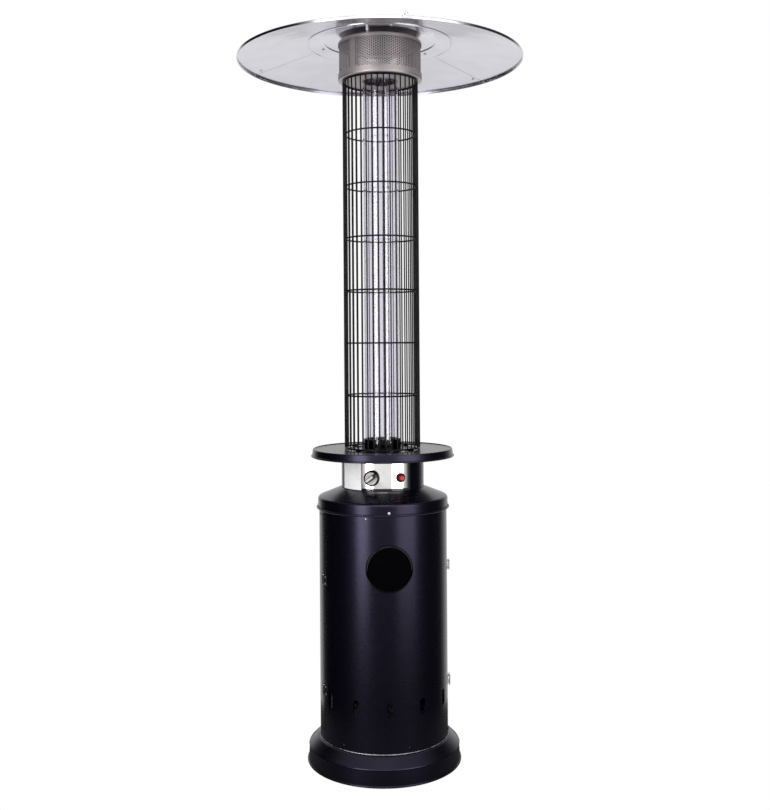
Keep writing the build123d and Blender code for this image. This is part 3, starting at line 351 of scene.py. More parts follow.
def end_tree(tree, geometry, material):
    """Realizes what the tree made, sets its material and sends it out."""
    solid = add_node(tree, "GeometryNodeRealizeInstances", {"Geometry": geometry}).outputs[0]
    painted = add_node(tree, "GeometryNodeSetMaterial", {"Geometry": solid, "Material": material}).outputs[0]
    add_node(tree, "NodeGroupOutput", {"Geometry": painted})
    return tree


def add_nodes(tree, values, rows):
    """Adds a table of nodes and keeps each first output among the values. A row is a name, a kind with its operation
    if it has one, and what its sockets take in their order: numbers, or names of earlier values."""
    for name, kind, *taken in rows:
        kind, *operation = kind.split()
        settings = {"operation": one for one in operation}
        sockets = {i: values[one] if isinstance(one, str) else one for i, one in enumerate(taken)}
        values[name] = add_node(tree, f"ShaderNode{kind}", sockets, **settings).outputs[0]


def grown(piece, tree, limit=SMOOTH_LIMIT, **values):
    """Runs a tree on an object, with its inputs set by identifier, and keeps the plain mesh."""
    modifier = piece.modifiers.new(tree.name, "NODES")
    modifier.node_group = tree
    for item in tree.interface.items_tree:
        key = item.name.lower().replace(" ", "_")
        if item.item_type == "SOCKET" and item.in_out == "INPUT" and key in values:
            modifier[item.identifier] = values[key]
    graph = bpy.context.evaluated_depsgraph_get()
    mesh = bpy.data.meshes.new_from_object(piece.evaluated_get(graph), preserve_all_data_layers=True, depsgraph=graph)
    piece.modifiers.clear()
    source, piece.data = piece.data, mesh
    bpy.data.meshes.remove(source)
    if not mesh.polygons:
        raise RuntimeError(f"{piece.name} came out of its tree empty")
    made = bmesh.new()
    made.from_mesh(mesh)
    shaded(made, limit).to_mesh(mesh)
    made.free()
    return piece


def repeat_tree():
    """Repeats a part, its copies spread evenly over an arc round the Z axis and each lifted above the last."""
    tree, given = new_tree("Repeat", [("Count", "Int", 4), ("First", "Float", 0.0), ("Arc", "Float", math.tau),
                                      ("Rise", "Float", 0.0)])
    given["index"] = add_node(tree, "GeometryNodeInputIndex").outputs[0]
    add_nodes(tree, given, [
        ("step", "Math DIVIDE", "Arc", "Count"), ("turn", "Math MULTIPLY_ADD", "index", "step", "First"),
        ("climb", "Math MULTIPLY", "index", "Rise"), ("spin", "CombineXYZ", 0.0, 0.0, "turn"),
        ("spot", "CombineXYZ", 0.0, 0.0, "climb")])
    points = add_node(tree, "GeometryNodePoints", {"Count": given["Count"], "Position": given["spot"]}).outputs[0]
    copies = add_node(tree, "GeometryNodeInstanceOnPoints",
                      {"Points": points, "Instance": given["Geometry"], "Rotation": given["spin"]}).outputs[0]
    return end_tree(tree, copies, given["Material"])


def repeated(name, made, key, count, first=90.0, arc=math.tau, rise=0.0):
    """Piece made of copies of a part drawn beside the X axis: the first at an azimuth in degrees, the others spread
    over an arc in radians, each so many millimetres above the last."""
    tree = bpy.data.node_groups.get("Repeat") or repeat_tree()
    return grown(new_object(name, made, key), tree, count=count, first=math.radians(first - 90), arc=arc,
                 rise=rise * MM, material=finish(key))


def cage_tree():
    """Upright wires on a circle, level hoops welded inside them and one hoop at each end."""
    tree, given = new_tree("Wire cage", [
        ("Wires", "Int", 40), ("Hoops", "Int", 6), ("Cage Radius", "Float", 0.106), ("Wire Radius", "Float", 0.0015),
        ("Hoop Wire", "Float", 0.002), ("Low", "Float", 0.88), ("High", "Float", 1.92)])
    given["index"] = add_node(tree, "GeometryNodeInputIndex").outputs[0]
    add_nodes(tree, given, [
        ("step", "Math DIVIDE", math.tau, "Wires"), ("turn", "Math MULTIPLY", "index", "step"),
        ("both", "Math ADD", "Wire Radius", "Hoop Wire"), ("inside", "Math SUBTRACT", "Cage Radius", "both"),
        ("welded", "Math ADD", "inside", 0.1 * MM), ("span", "Math SUBTRACT", "High", "Low"),
        ("bays", "Math ADD", "Hoops", 1.0), ("bay", "Math DIVIDE", "span", "bays"),
        ("first", "Math ADD", "Low", "bay"), ("level", "Math MULTIPLY_ADD", "index", "bay", "first"),
        ("end", "Math MULTIPLY_ADD", "index", "span", "Low"), ("spin", "CombineXYZ", 0.0, 0.0, "turn"),
        ("start", "CombineXYZ", "Cage Radius", 0.0, "Low"), ("stop", "CombineXYZ", "Cage Radius", 0.0, "High"),
        ("rung", "CombineXYZ", 0.0, 0.0, "level"), ("rim", "CombineXYZ", 0.0, 0.0, "end")])
    line = add_node(tree, "GeometryNodeCurvePrimitiveLine", {"Start": given["start"], "End": given["stop"]}).outputs[0]
    inner, outer = (add_node(tree, "GeometryNodeCurvePrimitiveCircle",
                             {"Resolution": 144, "Radius": given[radius]}).outputs[0]
                    for radius in ("welded", "Cage Radius"))
    still = (0.0, 0.0, 0.0)
    joined = add_node(tree, "GeometryNodeJoinGeometry")
    for curve, wire, count, spin, spot in ((line, "Wire Radius", given["Wires"], given["spin"], still),
                                           (inner, "Hoop Wire", given["Hoops"], still, given["rung"]),
                                           (outer, "Hoop Wire", 2, still, given["rim"])):
        section = add_node(tree, "GeometryNodeCurvePrimitiveCircle",
                           {"Resolution": 12, "Radius": given[wire]}).outputs[0]
        solid = add_node(tree, "GeometryNodeCurveToMesh",
                         {"Curve": curve, "Profile Curve": section, "Fill Caps": True}).outputs[0]
        points = add_node(tree, "GeometryNodePoints", {"Count": count, "Position": spot}).outputs[0]
        copies = add_node(tree, "GeometryNodeInstanceOnPoints",
                          {"Points": points, "Instance": solid, "Rotation": spin}).outputs[0]
        tree.links.new(copies, joined.inputs[0])
    return end_tree(tree, joined.outputs[0], given["Material"])


def screen_tree():
    """Sheet pierced with staggered round holes, rolled into a cylinder and given its thickness."""
    tree, given = new_tree("Perforated screen", [
        ("Columns", "Int", 120), ("Rows", "Int", 14), ("Pitch", "Float", 0.007), ("Hole", "Float", 0.002),
        ("Radius", "Float", 0.1166), ("Sheet", "Float", 0.0008), ("Height", "Float", 1.98)])
    add_nodes(tree, given, [
        ("inner", "Math SUBTRACT", "Radius", "Sheet"), ("girth", "Math MULTIPLY", "inner", math.tau),
        ("column", "Math DIVIDE", "girth", "Columns"), ("wide", "Math ADD", "Columns", 1.0),
        ("tall", "Math ADD", "Rows", 1.0), ("width", "Math MULTIPLY", "wide", "column"),
        ("height", "Math MULTIPLY", "tall", "Pitch"), ("across", "Math ADD", "Columns", 2.0),
        ("up", "Math ADD", "Rows", 2.0)])
    lattice = add_node(tree, "GeometryNodeMeshGrid", {"Size X": given["width"], "Size Y": given["height"],
                                                      "Vertices X": given["across"],
                                                      "Vertices Y": given["up"]}).outputs[0]
    position = add_node(tree, "GeometryNodeInputPosition").outputs[0]
    flat = add_node(tree, "ShaderNodeSeparateXYZ", {0: position}).outputs
    given["x"], given["y"] = flat["X"], flat["Y"]
    add_nodes(tree, given, [
        ("half", "Math MULTIPLY", "width", 0.5), ("from_edge", "Math ADD", "x", "half"),
        ("number", "Math DIVIDE", "from_edge", "column"), ("whole", "Math ROUND", "number"),
        ("odd", "Math MODULO", "whole", 2.0), ("stagger", "Math MULTIPLY", "odd", "Pitch"),
        ("shift", "Math MULTIPLY", "stagger", 0.5), ("offset", "CombineXYZ", 0.0, "shift"),
        ("turn", "Math DIVIDE", "x", "inner"), ("sine", "Math SINE", "turn"), ("cosine", "Math COSINE", "turn"),
        ("rolled_x", "Math MULTIPLY", "sine", "inner"), ("forward", "Math MULTIPLY", "cosine", "inner"),
        ("rolled_y", "Math MULTIPLY", "forward", -1.0), ("rolled_z", "Math ADD", "y", "Height"),
        ("rolled", "CombineXYZ", "rolled_x", "rolled_y", "rolled_z")])
    staggered = add_node(tree, "GeometryNodeSetPosition", {"Geometry": lattice, "Offset": given["offset"]}).outputs[0]
    triangles = add_node(tree, "GeometryNodeTriangulate", {0: staggered}, quad_method="SHORTEST_DIAGONAL").outputs[0]
    cells = add_node(tree, "GeometryNodeDualMesh", {0: triangles}).outputs[0]
    centred = add_node(tree, "GeometryNodeCaptureAttribute", domain="FACE")
    centred.capture_items.new("VECTOR", "Centre")
    tree.links.new(cells, centred.inputs[0])
    tree.links.new(position, centred.inputs[1])
    pierced = add_node(tree, "GeometryNodeExtrudeMesh", {"Mesh": centred.outputs[0], "Offset Scale": 0.0,
                                                         "Individual": True}, mode="FACES").outputs
    shrunk = add_node(tree, "GeometryNodeScaleElements", {"Geometry": pierced["Mesh"], "Selection": pierced["Top"],
                                                          "Scale": 0.5}, domain="FACE").outputs[0]
    rims = add_node(tree, "GeometryNodeCaptureAttribute", domain="POINT")
    rims.capture_items.new("FLOAT", "Rim")
    tree.links.new(shrunk, rims.inputs[0])
    tree.links.new(pierced["Top"], rims.inputs[1])
    opened = add_node(tree, "GeometryNodeDeleteGeometry",
                      {"Geometry": rims.outputs[0], "Selection": pierced["Top"]}, domain="FACE").outputs[0]
    finer = add_node(tree, "GeometryNodeSubdivideMesh", {"Mesh": opened, "Level": 1}).outputs[0]
    given["position"], given["centre"] = position, centred.outputs[1]
    add_nodes(tree, given, [
        ("arm", "VectorMath SUBTRACT", "position", "centre"), ("unit", "VectorMath NORMALIZE", "arm"),
        ("spoke", "VectorMath MULTIPLY", "unit", "Hole"), ("on_rim", "VectorMath ADD", "centre", "spoke")])
    is_rim = add_node(tree, "FunctionNodeCompare", {0: rims.outputs[1], 1: 0.9}, data_type="FLOAT",
                      operation="GREATER_THAN").outputs[0]
    round_holes = add_node(tree, "GeometryNodeSetPosition",
                           {"Geometry": finer, "Selection": is_rim, "Position": given["on_rim"]}).outputs[0]
    cylinder = add_node(tree, "GeometryNodeSetPosition",
                        {"Geometry": round_holes, "Position": given["rolled"]}).outputs[0]
    closed = add_node(tree, "GeometryNodeMergeByDistance", {"Geometry": cylinder, "Distance": 0.05 * MM}).outputs[0]
    thick = add_node(tree, "GeometryNodeExtrudeMesh", {"Mesh": closed, "Offset Scale": given["Sheet"],
                                                       "Individual": False}, mode="FACES").outputs["Mesh"]
    back = add_node(tree, "GeometryNodeFlipFaces", {"Mesh": closed}).outputs[0]
    both = add_node(tree, "GeometryNodeJoinGeometry")
    tree.links.new(thick, both.inputs[0])
    tree.links.new(back, both.inputs[0])
    solid = add_node(tree, "GeometryNodeMergeByDistance",
                     {"Geometry": both.outputs[0], "Distance": 0.02 * MM}).outputs[0]
    return end_tree(tree, solid, given["Material"])


# ---------------------------------------------------------------- finishes
class Waves(NamedTuple):
    """Soft noise with so many waves to the metre, or so many along each axis. Wound waves run round the heater's
    axis, the third number being for out along a flat and up a wall; cells are flat patches instead of waves."""
    rate: float | tuple
    detail: float = 2.0
    roughness: float = 0.5
    wound: bool = False
    cells: bool = False


class Finish(NamedTuple):
    """Material's name, the constants on its shader, its waves and what they vary. The shades are two hex colours, or
    one colour, by its hex or its property, with two factors; the relief's depth is in metres."""
    name: str
    sockets: dict
    waves: Waves
    shades: tuple = ()
    roughness: tuple = ()
    relief: float = 0.0
    strength: float = 1.0
    rough_waves: Waves | None = None
    relief_waves: Waves | None = None
    fired_inside: str = ""


METAL = {"Metallic": 1.0}
PLASTIC = {"IOR": 1.49, "Specular IOR Level": 0.5}
GRAIN = 0.00003         # depth of the spark-eroded grain of a mould, m
BRUSHED = Finish("Stainless steel, brushed", {"Metallic": 1.0, "Anisotropic": 0.35},
                 Waves((14.0, 14.0, 1250.0), 3.0, 0.6, wound=True), ("head", 0.72, 1.1), (0.38, 0.52), 0.000015)

FINISHES = {
    # Polyester powder coat baked on steel. Gives the satin black its soft wide highlights and, close up, its orange
    # peel, drawn at 3 mm where the real skin has 1.5 mm because that is too fine for a whole view.
    "body": Finish("Powder coat, satin black",
                   {"IOR": 1.5, "Specular IOR Level": 0.5, "Specular Tint": linear("#CBC2F2")}, Waves(9.0),
                   ("body", 0.9, 1.1), (0.24, 0.3), 0.000008, rough_waves=Waves(60.0), relief_waves=Waves(330.0)),
    # Dip coat on wire: a thick skin with a dulled gloss that pulls a dim, even line down each wire.
    "cage": Finish("Dip coat on wire, gloss black", {"IOR": 1.42, "Specular IOR Level": 0.2}, Waves(45.0),
                   ("cage", 0.85, 1.2), (0.26, 0.36), 0.00003),
    # Stove enamel on pressed steel: a deep, nearly flat black mirror with slow 15 mm waves.
    "enamel": Finish("Stove enamel, gloss black", {"IOR": 1.42, "Specular IOR Level": 0.22}, Waves(65.0, 1.0),
                     ("enamel", 0.8, 1.2), (0.09, 0.13), 0.00002),
    # Stainless sheet brushed round the drum. The brushing spreads the lights into soft upright bands; its lines are
    # drawn 0.8 mm apart, coarser than the real grit.
    "head": BRUSHED,
    # The same sheet, its inner face painted near black as painted shade inside the head: the holes read as dark dots.
    "screen": BRUSHED._replace(name="Stainless steel, brushed, fired inside", fired_inside="head_screen"),
    # Stainless sheet polished bright and rolled round the neck: a mirror with long faint ripples.
    "plate": Finish("Stainless steel, mirror polished", METAL, Waves(22.0, 1.0), ("plate", 0.92, 1.0), (0.06, 0.1),
                    0.0006, 0.5, rough_waves=Waves(240.0)),
    # Polished aluminium sheet pressed into thirds: silvery with a faint lavender cast, long press waves of about
    # 70 mm that smear what it mirrors, and fine rolling lines drawn at 2 mm.
    "reflector": Finish("Aluminium sheet, polished", METAL, Waves(14.0, 1.0), ("reflector", 0.93, 1.0), (0.15, 0.23),
                        0.0025, 0.5, rough_waves=Waves((6.0, 6.0, 500.0), wound=True)),
    # Zinc plate under a milky passivate: small hardware that shines pale even where it mirrors the dark.
    "zinc": Finish("Steel, bright zinc plate", {"Metallic": 0.7}, Waves(160.0), ("zinc", 0.82, 1.0), (0.3, 0.45),
                   0.00002, relief_waves=Waves(500.0)),
    # Zinc plate with a black passivate: a dark dull metal that lets the rivets on it stand out.
    "black_zinc": Finish("Steel, black zinc plate", METAL, Waves(160.0), ("#3A383D", "#5A575D"), (0.35, 0.5)),
    # Hot-dip galvanised sheet: the 12 mm spangle of the crystals, each its own dull grey.
    "galvanised": Finish("Steel, hot-dip galvanised", METAL, Waves(85.0, cells=True), ("#83868A", "#B4B7BA"),
                         (0.3, 0.5)),
    # Drawn borosilicate tube: clear, with the draw's faint upright lines bending what is behind it.
    "glass": Finish("Borosilicate glass, drawn",
                    {"IOR": 1.47, "Transmission Weight": 1.0, "Base Color": linear("#EBE9F0")},
                    Waves((150.0, 150.0, 1.5), 1.0), (), (0.0, 0.02), 0.00004),
    # Turned brass of the valve and its unions: warm, with fine turning lines at 1 mm.
    "brass": Finish("Brass, turned", METAL, Waves((40.0, 40.0, 1000.0), wound=True), ("#A5864A", "#C9AA66"),
                    (0.22, 0.36)),
    # Nylon with 1.2 mm grain: a soft black that shows the skirt's rim.
    "knob": Finish("Nylon, black", {"IOR": 1.49, "Specular IOR Level": 0.2}, Waves(800.0), ("#060607", 0.92, 1.0),
                   (0.37, 0.47), GRAIN),
    # Grey printed inlay under a hard lacquer: the pale face that the black grip stands on.
    "knob_face": Finish("ABS inlay, grey", PLASTIC, Waves(600.0), ("knob_face", 0.92, 1.0), (0.27, 0.37), GRAIN),
    # Glossy red acetal: one clear spot of light on its crown.
    "button": Finish("Acetal, red", PLASTIC, Waves(500.0), ("button", 0.92, 1.0), (0.2, 0.3), GRAIN),
    # Hard polypropylene: dull charcoal with 2 mm mould grain.
    "wheel": Finish("Polypropylene, black", PLASTIC, Waves(500.0), ("#1A1A1C", 0.92, 1.0), (0.5, 0.6), GRAIN),
    # Bare polyester label: flat matt white with a faint mottle of the film.
    "label": Finish("Polyester label film, white", PLASTIC, Waves(120.0), ("label", 0.92, 1.0), (0.45, 0.55), GRAIN),
    # Heat-resisting steel that has seen flame: straw and blue-grey patches of 20 mm.
    "fired": Finish("Heat-resisting steel, fired", METAL, Waves(50.0, 3.0), ("#5B5A60", "#8F8576"), (0.3, 0.5)),
    # Seamless paper: a matt pale floor that only carries the shadow.
    "paper": Finish("Seamless paper, white",
                    {"IOR": 1.3, "Specular IOR Level": 0.1, "Roughness": 0.9, "Emission Color": linear("#FFFFFF")},
                    Waves(30.0), ("#616161", "#696969")),
}
made_finishes = {}


def off_axis(tree, where):
    """Distance of a point from the heater's axis."""
    flat = add_node(tree, "ShaderNodeVectorMath", {0: where, 1: (1.0, 1.0, 0.0)}, operation="MULTIPLY").outputs[0]
    return add_node(tree, "ShaderNodeVectorMath", {0: flat}, operation="LENGTH").outputs["Value"]


def pattern(tree, where, waves):
    """Value of a row's waves at a point."""
    if waves.cells:
        cell = add_node(tree, "ShaderNodeTexVoronoi", {"Vector": where, "Scale": waves.rate}).outputs["Color"]
        return add_node(tree, "ShaderNodeSeparateXYZ", {0: cell}).outputs["X"]
    if waves.wound:
        out = add_node(tree, "ShaderNodeCombineXYZ", {"Z": off_axis(tree, where)}).outputs[0]
        where = add_node(tree, "ShaderNodeVectorMath", {0: where, 1: out}, operation="ADD").outputs[0]
    rate = waves.rate
    if isinstance(rate, tuple):
        where = add_node(tree, "ShaderNodeVectorMath", {0: where, 1: rate}, operation="MULTIPLY").outputs[0]
        rate = 1.0
    return add_node(tree, "ShaderNodeTexNoise", {"Vector": where, "Scale": rate, "Detail": waves.detail,
                                                 "Roughness": waves.roughness}).outputs["Fac"]


def shades_of(colour, *ends):
    """Dark and light linear colours of a row in the table of finishes."""
    if isinstance(ends[0], str):
        return linear(colour), linear(ends[0])
    base = linear(colour) if colour.startswith("#") else getattr(bpy.context.scene.heater_colours, colour)
    return [(*(min(1.0, channel * factor) for channel in base[:3]), 1.0) for factor in ends]


def finish(key):
    """The scene's one material of a finish, its patterns on object coordinates."""
    if key in made_finishes:
        return made_finishes[key]
    row = FINISHES[key]
    made = made_finishes[key] = bpy.data.materials.new(row.name)
    made.use_nodes = True
    tree = made.node_tree
    tree.nodes.clear()
    shader = add_node(tree, "ShaderNodeBsdfPrincipled", row.sockets)
    add_node(tree, "ShaderNodeOutputMaterial", {"Surface": shader.outputs[0]})
    where = add_node(tree, "ShaderNodeTexCoord").outputs["Object"]
    value = pattern(tree, where, row.waves)
    if row.shades:
        shade = add_node(tree, "ShaderNodeValToRGB", {"Fac": value})
        for end, position, colour in zip(shade.color_ramp.elements, (0.25, 0.75), shades_of(*row.shades)):
            end.position, end.color = position, colour
        skin = shade.outputs[0]
        # Painted shade: inside the sheet's wall the skin is mixed to near black, standing in for the shade inside the
        # head.
        if row.fired_inside:
            wall = reach(row.fired_inside)
            outside = add_node(tree, "ShaderNodeMapRange",
                               {"Value": off_axis(tree, where), "From Min": (wall - 0.7) * MM,
                                "From Max": (wall - 0.1) * MM}).outputs[0]
            skin = add_node(tree, "ShaderNodeMix", {"Factor": outside, "A": linear("#1B1917"), "B": skin},
                            data_type="RGBA").outputs[2]
        tree.links.new(skin, shader.inputs["Base Color"])
    if row.roughness:
        source = pattern(tree, where, row.rough_waves) if row.rough_waves else value
        spread = add_node(tree, "ShaderNodeMapRange", {"Value": source, "To Min": row.roughness[0],
                                                       "To Max": row.roughness[1]}).outputs[0]
        tree.links.new(spread, shader.inputs["Roughness"])
    if row.relief:
        source = pattern(tree, where, row.relief_waves) if row.relief_waves else value
        bump = add_node(tree, "ShaderNodeBump", {"Height": source, "Distance": row.relief, "Strength": row.strength})
        tree.links.new(bump.outputs[0], shader.inputs["Normal"])
    return made


def dress(key, *nodes):
    """Gives CAD nodes that stay as they are their material."""
    for node in nodes:
        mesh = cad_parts[node].data
        mesh.materials.clear()
        mesh.materials.append(finish(key))


# ---------------------------------------------------------------- shapes shared by the pieces
def screw_head(radius, height, matrix):
    """Pan head with a cross recess, its back on the XY plane of a frame."""
    steps, bar, arm = 24, 0.16 * radius, 0.58 * radius
    turns = [math.tau * k / steps for k in range(steps)]
    recess = []
    for turn in turns:
        s, c = abs(math.sin(turn)) + 1e-9, abs(math.cos(turn)) + 1e-9
        recess.append(max(min(arm / c, bar / s), min(arm / s, bar / c)))
    dome = ((1.0, 0.0), (1.0, 0.2), (0.93, 0.5), (0.79, 0.77), (0.61, 0.93))
    levels = [([share * radius] * steps, rise * height) for share, rise in dome]
    levels += [(recess, height), ([0.7 * r for r in recess], 0.5 * height)]
    made = bmesh.new()
    return skinned(made, [[made.verts.new(matrix @ Vector((r * MM * math.cos(t), r * MM * math.sin(t), z * MM)))
                           for r, t in zip(radii, turns)] for radii, z in levels])


def turned_part(points, steps, matrix=Matrix.Identity(4), into=None):
    """Part turned about its own Z axis from a closed outline and moved into place, alone or beside others."""
    made = into or bmesh.new()
    others = len(made.verts)
    lathe(points, steps, into=made)
    bmesh.ops.transform(made, matrix=matrix, verts=list(made.verts)[others:])
    return made


def nut(across, height, z, bore=0.0):
    """Hexagon nut with a turned chamfer, as an outline for six steps."""
    corner = across / math.sqrt(3)
    return [(bore, z), (corner, z), (corner, z + 0.8 * height), (0.88 * corner, z + height), (bore, z + height)]


class HeaterStep:
    """Shared part of the operators: runs the step with the scene's sizes and lets its errors through."""
    bl_options = {"REGISTER", "UNDO"}

    def execute(self, context):
        self.build(context.scene.heater_sizes)
        return {"FINISHED"}


# ---------------------------------------------------------------- base and body
class HEATER_OT_base(HeaterStep, bpy.types.Operator):
    """Spun steel base: tapered wall, creased fold, sloping shoulder, rolled foot and bright inner lip"""
    bl_idname = "heater.base"
    bl_label = "Base"

    def build(self, sizes):
        bead = sizes.bead_radius / MM + SHEET
        foot, top = reach("base_shell") - bead, high("base_shell")
        fold = reach("housing") + 32.1
        crease = top - sizes.base_shoulder / MM
        collar = reach("housing") + 0.3
        skin = bent([(foot, bead), (fold - 0.8, crease - 3.0), (fold + 0.6, crease - 0.6),
                     (fold - 0.6, crease + 1.6), (collar + 6.5, top - 3.2), (collar, top - 0.4), (collar, top - 16)],
                    [2.5, 1.3, 2.5, 9.0, 1.6])
        made = lathe(walled(skin))
        lathe(tube_outline(foot, bead, bead), into=made)
        mounted(new_object("base_skin", made, "body"), "root", "black_paint", "base_shell")
        lip = lathe(tube_outline(collar + 1.6, top + 0.1, 1.2, 12))
        mounted(new_object("base_lip", lip, "galvanised"), "root", "zinc")


class HEATER_OT_body(HeaterStep, bpy.types.Operator):
    """Rolled housing and its door with true round shading, and the housing's screws"""
    bl_idname = "heater.body"
    bl_label = "Housing and door"

    def build(self, sizes):
        mounted(copy_of("housing", "housing_skin", "body"), "root", "black_paint", "housing")
        mounted(copy_of("door", "door_skin", "body"), "door", "black_paint", "door")
        screw = screw_head(4.5, 2.6, beside_x(reach("housing"), middle("housing_screws")))
        mounted(repeated("housing_screw_heads", screw, "body", 6, -43.0), "root", "black_paint", "housing_screws")


class HEATER_OT_disc(HeaterStep, bpy.types.Operator):
    """Round enamelled boss on the front of the body, with a soft pressed rim and a back shaped to the wall"""
    bl_idname = "heater.disc"
    bl_label = "Front disc"

    def build(self, sizes):
        radius, face, wall = reach("front_disc"), -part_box("front_disc")[0].y / MM, reach("housing")
        back = wall - 14
        skin = bent([(radius, back), (radius, face), (0, face)], [5.0])
        made = lathe([*((radius * k / 4, back) for k in range(4)), *skin], 96)
        made.transform(Matrix.Rotation(math.pi / 2, 4, "X"))
        for vertex in made.verts:
            if -vertex.co.y < (back + 1) * MM:
                vertex.co.y = -math.sqrt(((wall - 0.6) * MM) ** 2 - vertex.co.x ** 2)
        made.transform(Matrix.Translation((0, 0, middle("front_disc") * MM)))
        bmesh.ops.recalc_face_normals(made, faces=made.faces)
        mounted(new_object("front_disc_face", made, "enamel"), "root", "gloss_black", "front_disc")


class HEATER_OT_hardware(HeaterStep, bpy.types.Operator):
    """Bright and black zinc on the hinges and toggle latches, and the rivets that hold the hinges"""
    bl_idname = "heater.hardware"
    bl_label = "Hinges and latches"

    def build(self, sizes):
        dress("zinc", "hinge_pins", "latch_keepers", "lower_latch_lever", "lower_latch_bail", "upper_latch_lever",
              "upper_latch_bail")
        dress("black_zinc", "hinge_leaves_fixed", "hinge_leaves_door", "latch_bases")
        leaf, height, foot = reach("housing") + 1.5, sizes.hinge_height / MM, low("hinge_leaves_fixed")
        rise = high("hinge_leaves_fixed") - foot - height
        rivet = [(0, -1.2), (2.7, -1.2), (2.7, 0.2), (2.3, 0.9), (1.4, 1.4), (0, 1.6)]
        for name, body, side in (("hinge_rivets_fixed", "root", 1), ("hinge_rivets_door", "door", -1)):
            azimuth = HINGE_AZIMUTH + side * math.degrees(9.0 / leaf)
            made = bmesh.new()
            for level in (-9.5, 9.5):
                turned_part(rivet, 16, facing(azimuth, leaf - 0.6, foot + height / 2 + level), made)
            mounted(repeated(name, made, "zinc", 2, arc=0.0, rise=rise), body, "zinc")


class HEATER_OT_lid(HeaterStep, bpy.types.Operator):
    """Pressed lid of the body: rolled skirt, bent shoulder, cone up to the control band, and its screws"""
    bl_idname = "heater.lid"
    bl_label = "Lid"

    def build(self, sizes):
        bead = 2.9
        skirt, foot = reach("lid") - 4.6, low("lid") + bead
        neck, level, top = reach("control_box") + 1.5, low("control_box"), high("lid")
        skin = bent([(skirt, foot), (skirt, low("lid") + 32.5), (neck, level), (neck, top - 15.5)],
                    [sizes.lid_bend / MM, 1.2])
        made = lathe(walled(skin))
        lathe(tube_outline(reach("lid") - bead, foot, bead), into=made)
        mounted(new_object("lid_skin", made, "body"), "root", "black_paint", "lid")
        screw = screw_head(4.0, 2.4, beside_x(skirt, middle("lid_screws")))
        mounted(repeated("lid_screw_heads", screw, "zinc", 4, 0.0), "root", "zinc", "lid_screws")
        rivet = [(0, -0.8), (1.9, -0.8), (1.9, 0.1), (1.4, 0.7), (0, 1.0)]
        made = turned_part(rivet, 16, facing(-20.0, reach("housing"), low("lid") - 6.2))
        mounted(new_object("rim_rivet", made, "zinc"), "root", "zinc")


# ---------------------------------------------------------------- controls
class HEATER_OT_controls(HeaterStep, bpy.types.Operator):
    """Control band with its polished plate and bare label, the knob with its grey face, and the push igniter"""
    bl_idname = "heater.controls"
    bl_label = "Controls"

    def build(self, sizes):
        mounted(copy_of("control_box", "control_band", "body"), "root", "black_paint", "control_box")
        mounted(copy_of("control_plate", "control_plate_skin", "plate", hem=7.5), "root", "mirror_stainless",
                "control_plate")
        wall, foot, top = reach("control_box"), low("control_plate"), high("control_plate")
        start, arc = -71.5, 36.0        # of the label, in degrees of azimuth
        label = lathe(band(wall - 0.2, wall + 0.35, foot + 2, top - 4), 24, start, arc)
        mounted(new_object("label_film", label, "label"), "root", "mirror_stainless")

        # The knob's grey parts, its inlay and the mark on its grip, come before its black ones.
        level = middle("control_plate") - 5.5
        made = turned_part([(0, 8.1), (17.2, 8.1), (17.2, 8.6), (16.8, 8.9), (0, 8.9)], 64)
        slab([(x - 0.5, y + 0.6) for x, y in stadium(25, 6.4)], [(24.4, 0.0), (25.0, 0.2)], into=made)
        inlay = len(made.faces)
        skirt = [(0, 0), (22, 0), (22, 1.2), (21.2, 6.8), (20.4, 8.2), (18.9, 9.0), (18.2, 8.2), (0, 8.2)]
        turned_part(skirt, 64, into=made)
        slab([(x + 2.0, y) for x, y in stadium(35, 11)], [(8.0, 0.0), (22.5, 0.4), (24.2, 0.8), (24.6, 1.4)], into=made)
        for face in list(made.faces)[:inlay]:
            face.material_index = 1
        back, lean = 121.6, 127         # of the knob: millimetres from the heater's axis, and its grip's degrees
        made.transform(facing(-CONTROL_AZIMUTH, back, level, lean))
        mounted(new_object("knob", made, "knob", "knob_face"), "knob", "knob_plastic", "control_knob")

        # The igniter's outlines are (radius, distance from the heater's axis).
        bezel = [(7.7, 84), (9.0, 84), (9.0, 118.3), (13, 118.3), (13, 120.9), (12.5, 121.9), (11.5, 122.4),
                 (8.8, 122.4), (7.9, 121.9), (7.7, 121.3)]
        crown = [(0, 114.4), (7.5, 114.4), (7.5, 126.0), (7.0, 126.9), (6.0, 127.4), (3.5, 127.1), (0, 126.8)]
        igniter = facing(CONTROL_AZIMUTH, 0, level)
        mounted(new_object("igniter_bezel", turned_part(bezel, 48, igniter), "knob"), "root", "knob_plastic",
                "igniter_body")
        mounted(new_object("igniter_push", turned_part(crown, 40, igniter), "button"), "button", "button_red",
                "igniter_button")


class HEATER_OT_table(HeaterStep, bpy.types.Operator):
    """Spun table over the control band: rolled edge, tapered skirt, low raised rim and flat top"""
    bl_idname = "heater.table"
    bl_label = "Table"

    def build(self, sizes):
        bead = 2.8
        edge, foot, lip = reach("table_ring"), low("table_ring"), high("table_ring")
        top = lip - 2.0
        skin = bent([(edge - bead, foot + bead), (edge - 5.4, lip), (edge - 9.4, lip), (edge - 10.6, top), (44, top)],
                    [sizes.table_bend / MM, 0.8, 1.0])
        made = lathe(walled(skin))
        lathe(tube_outline(edge - bead, foot + bead, bead), into=made)
        mounted(new_object("table_skin", made, "body"), "root", "black_paint", "table_ring")


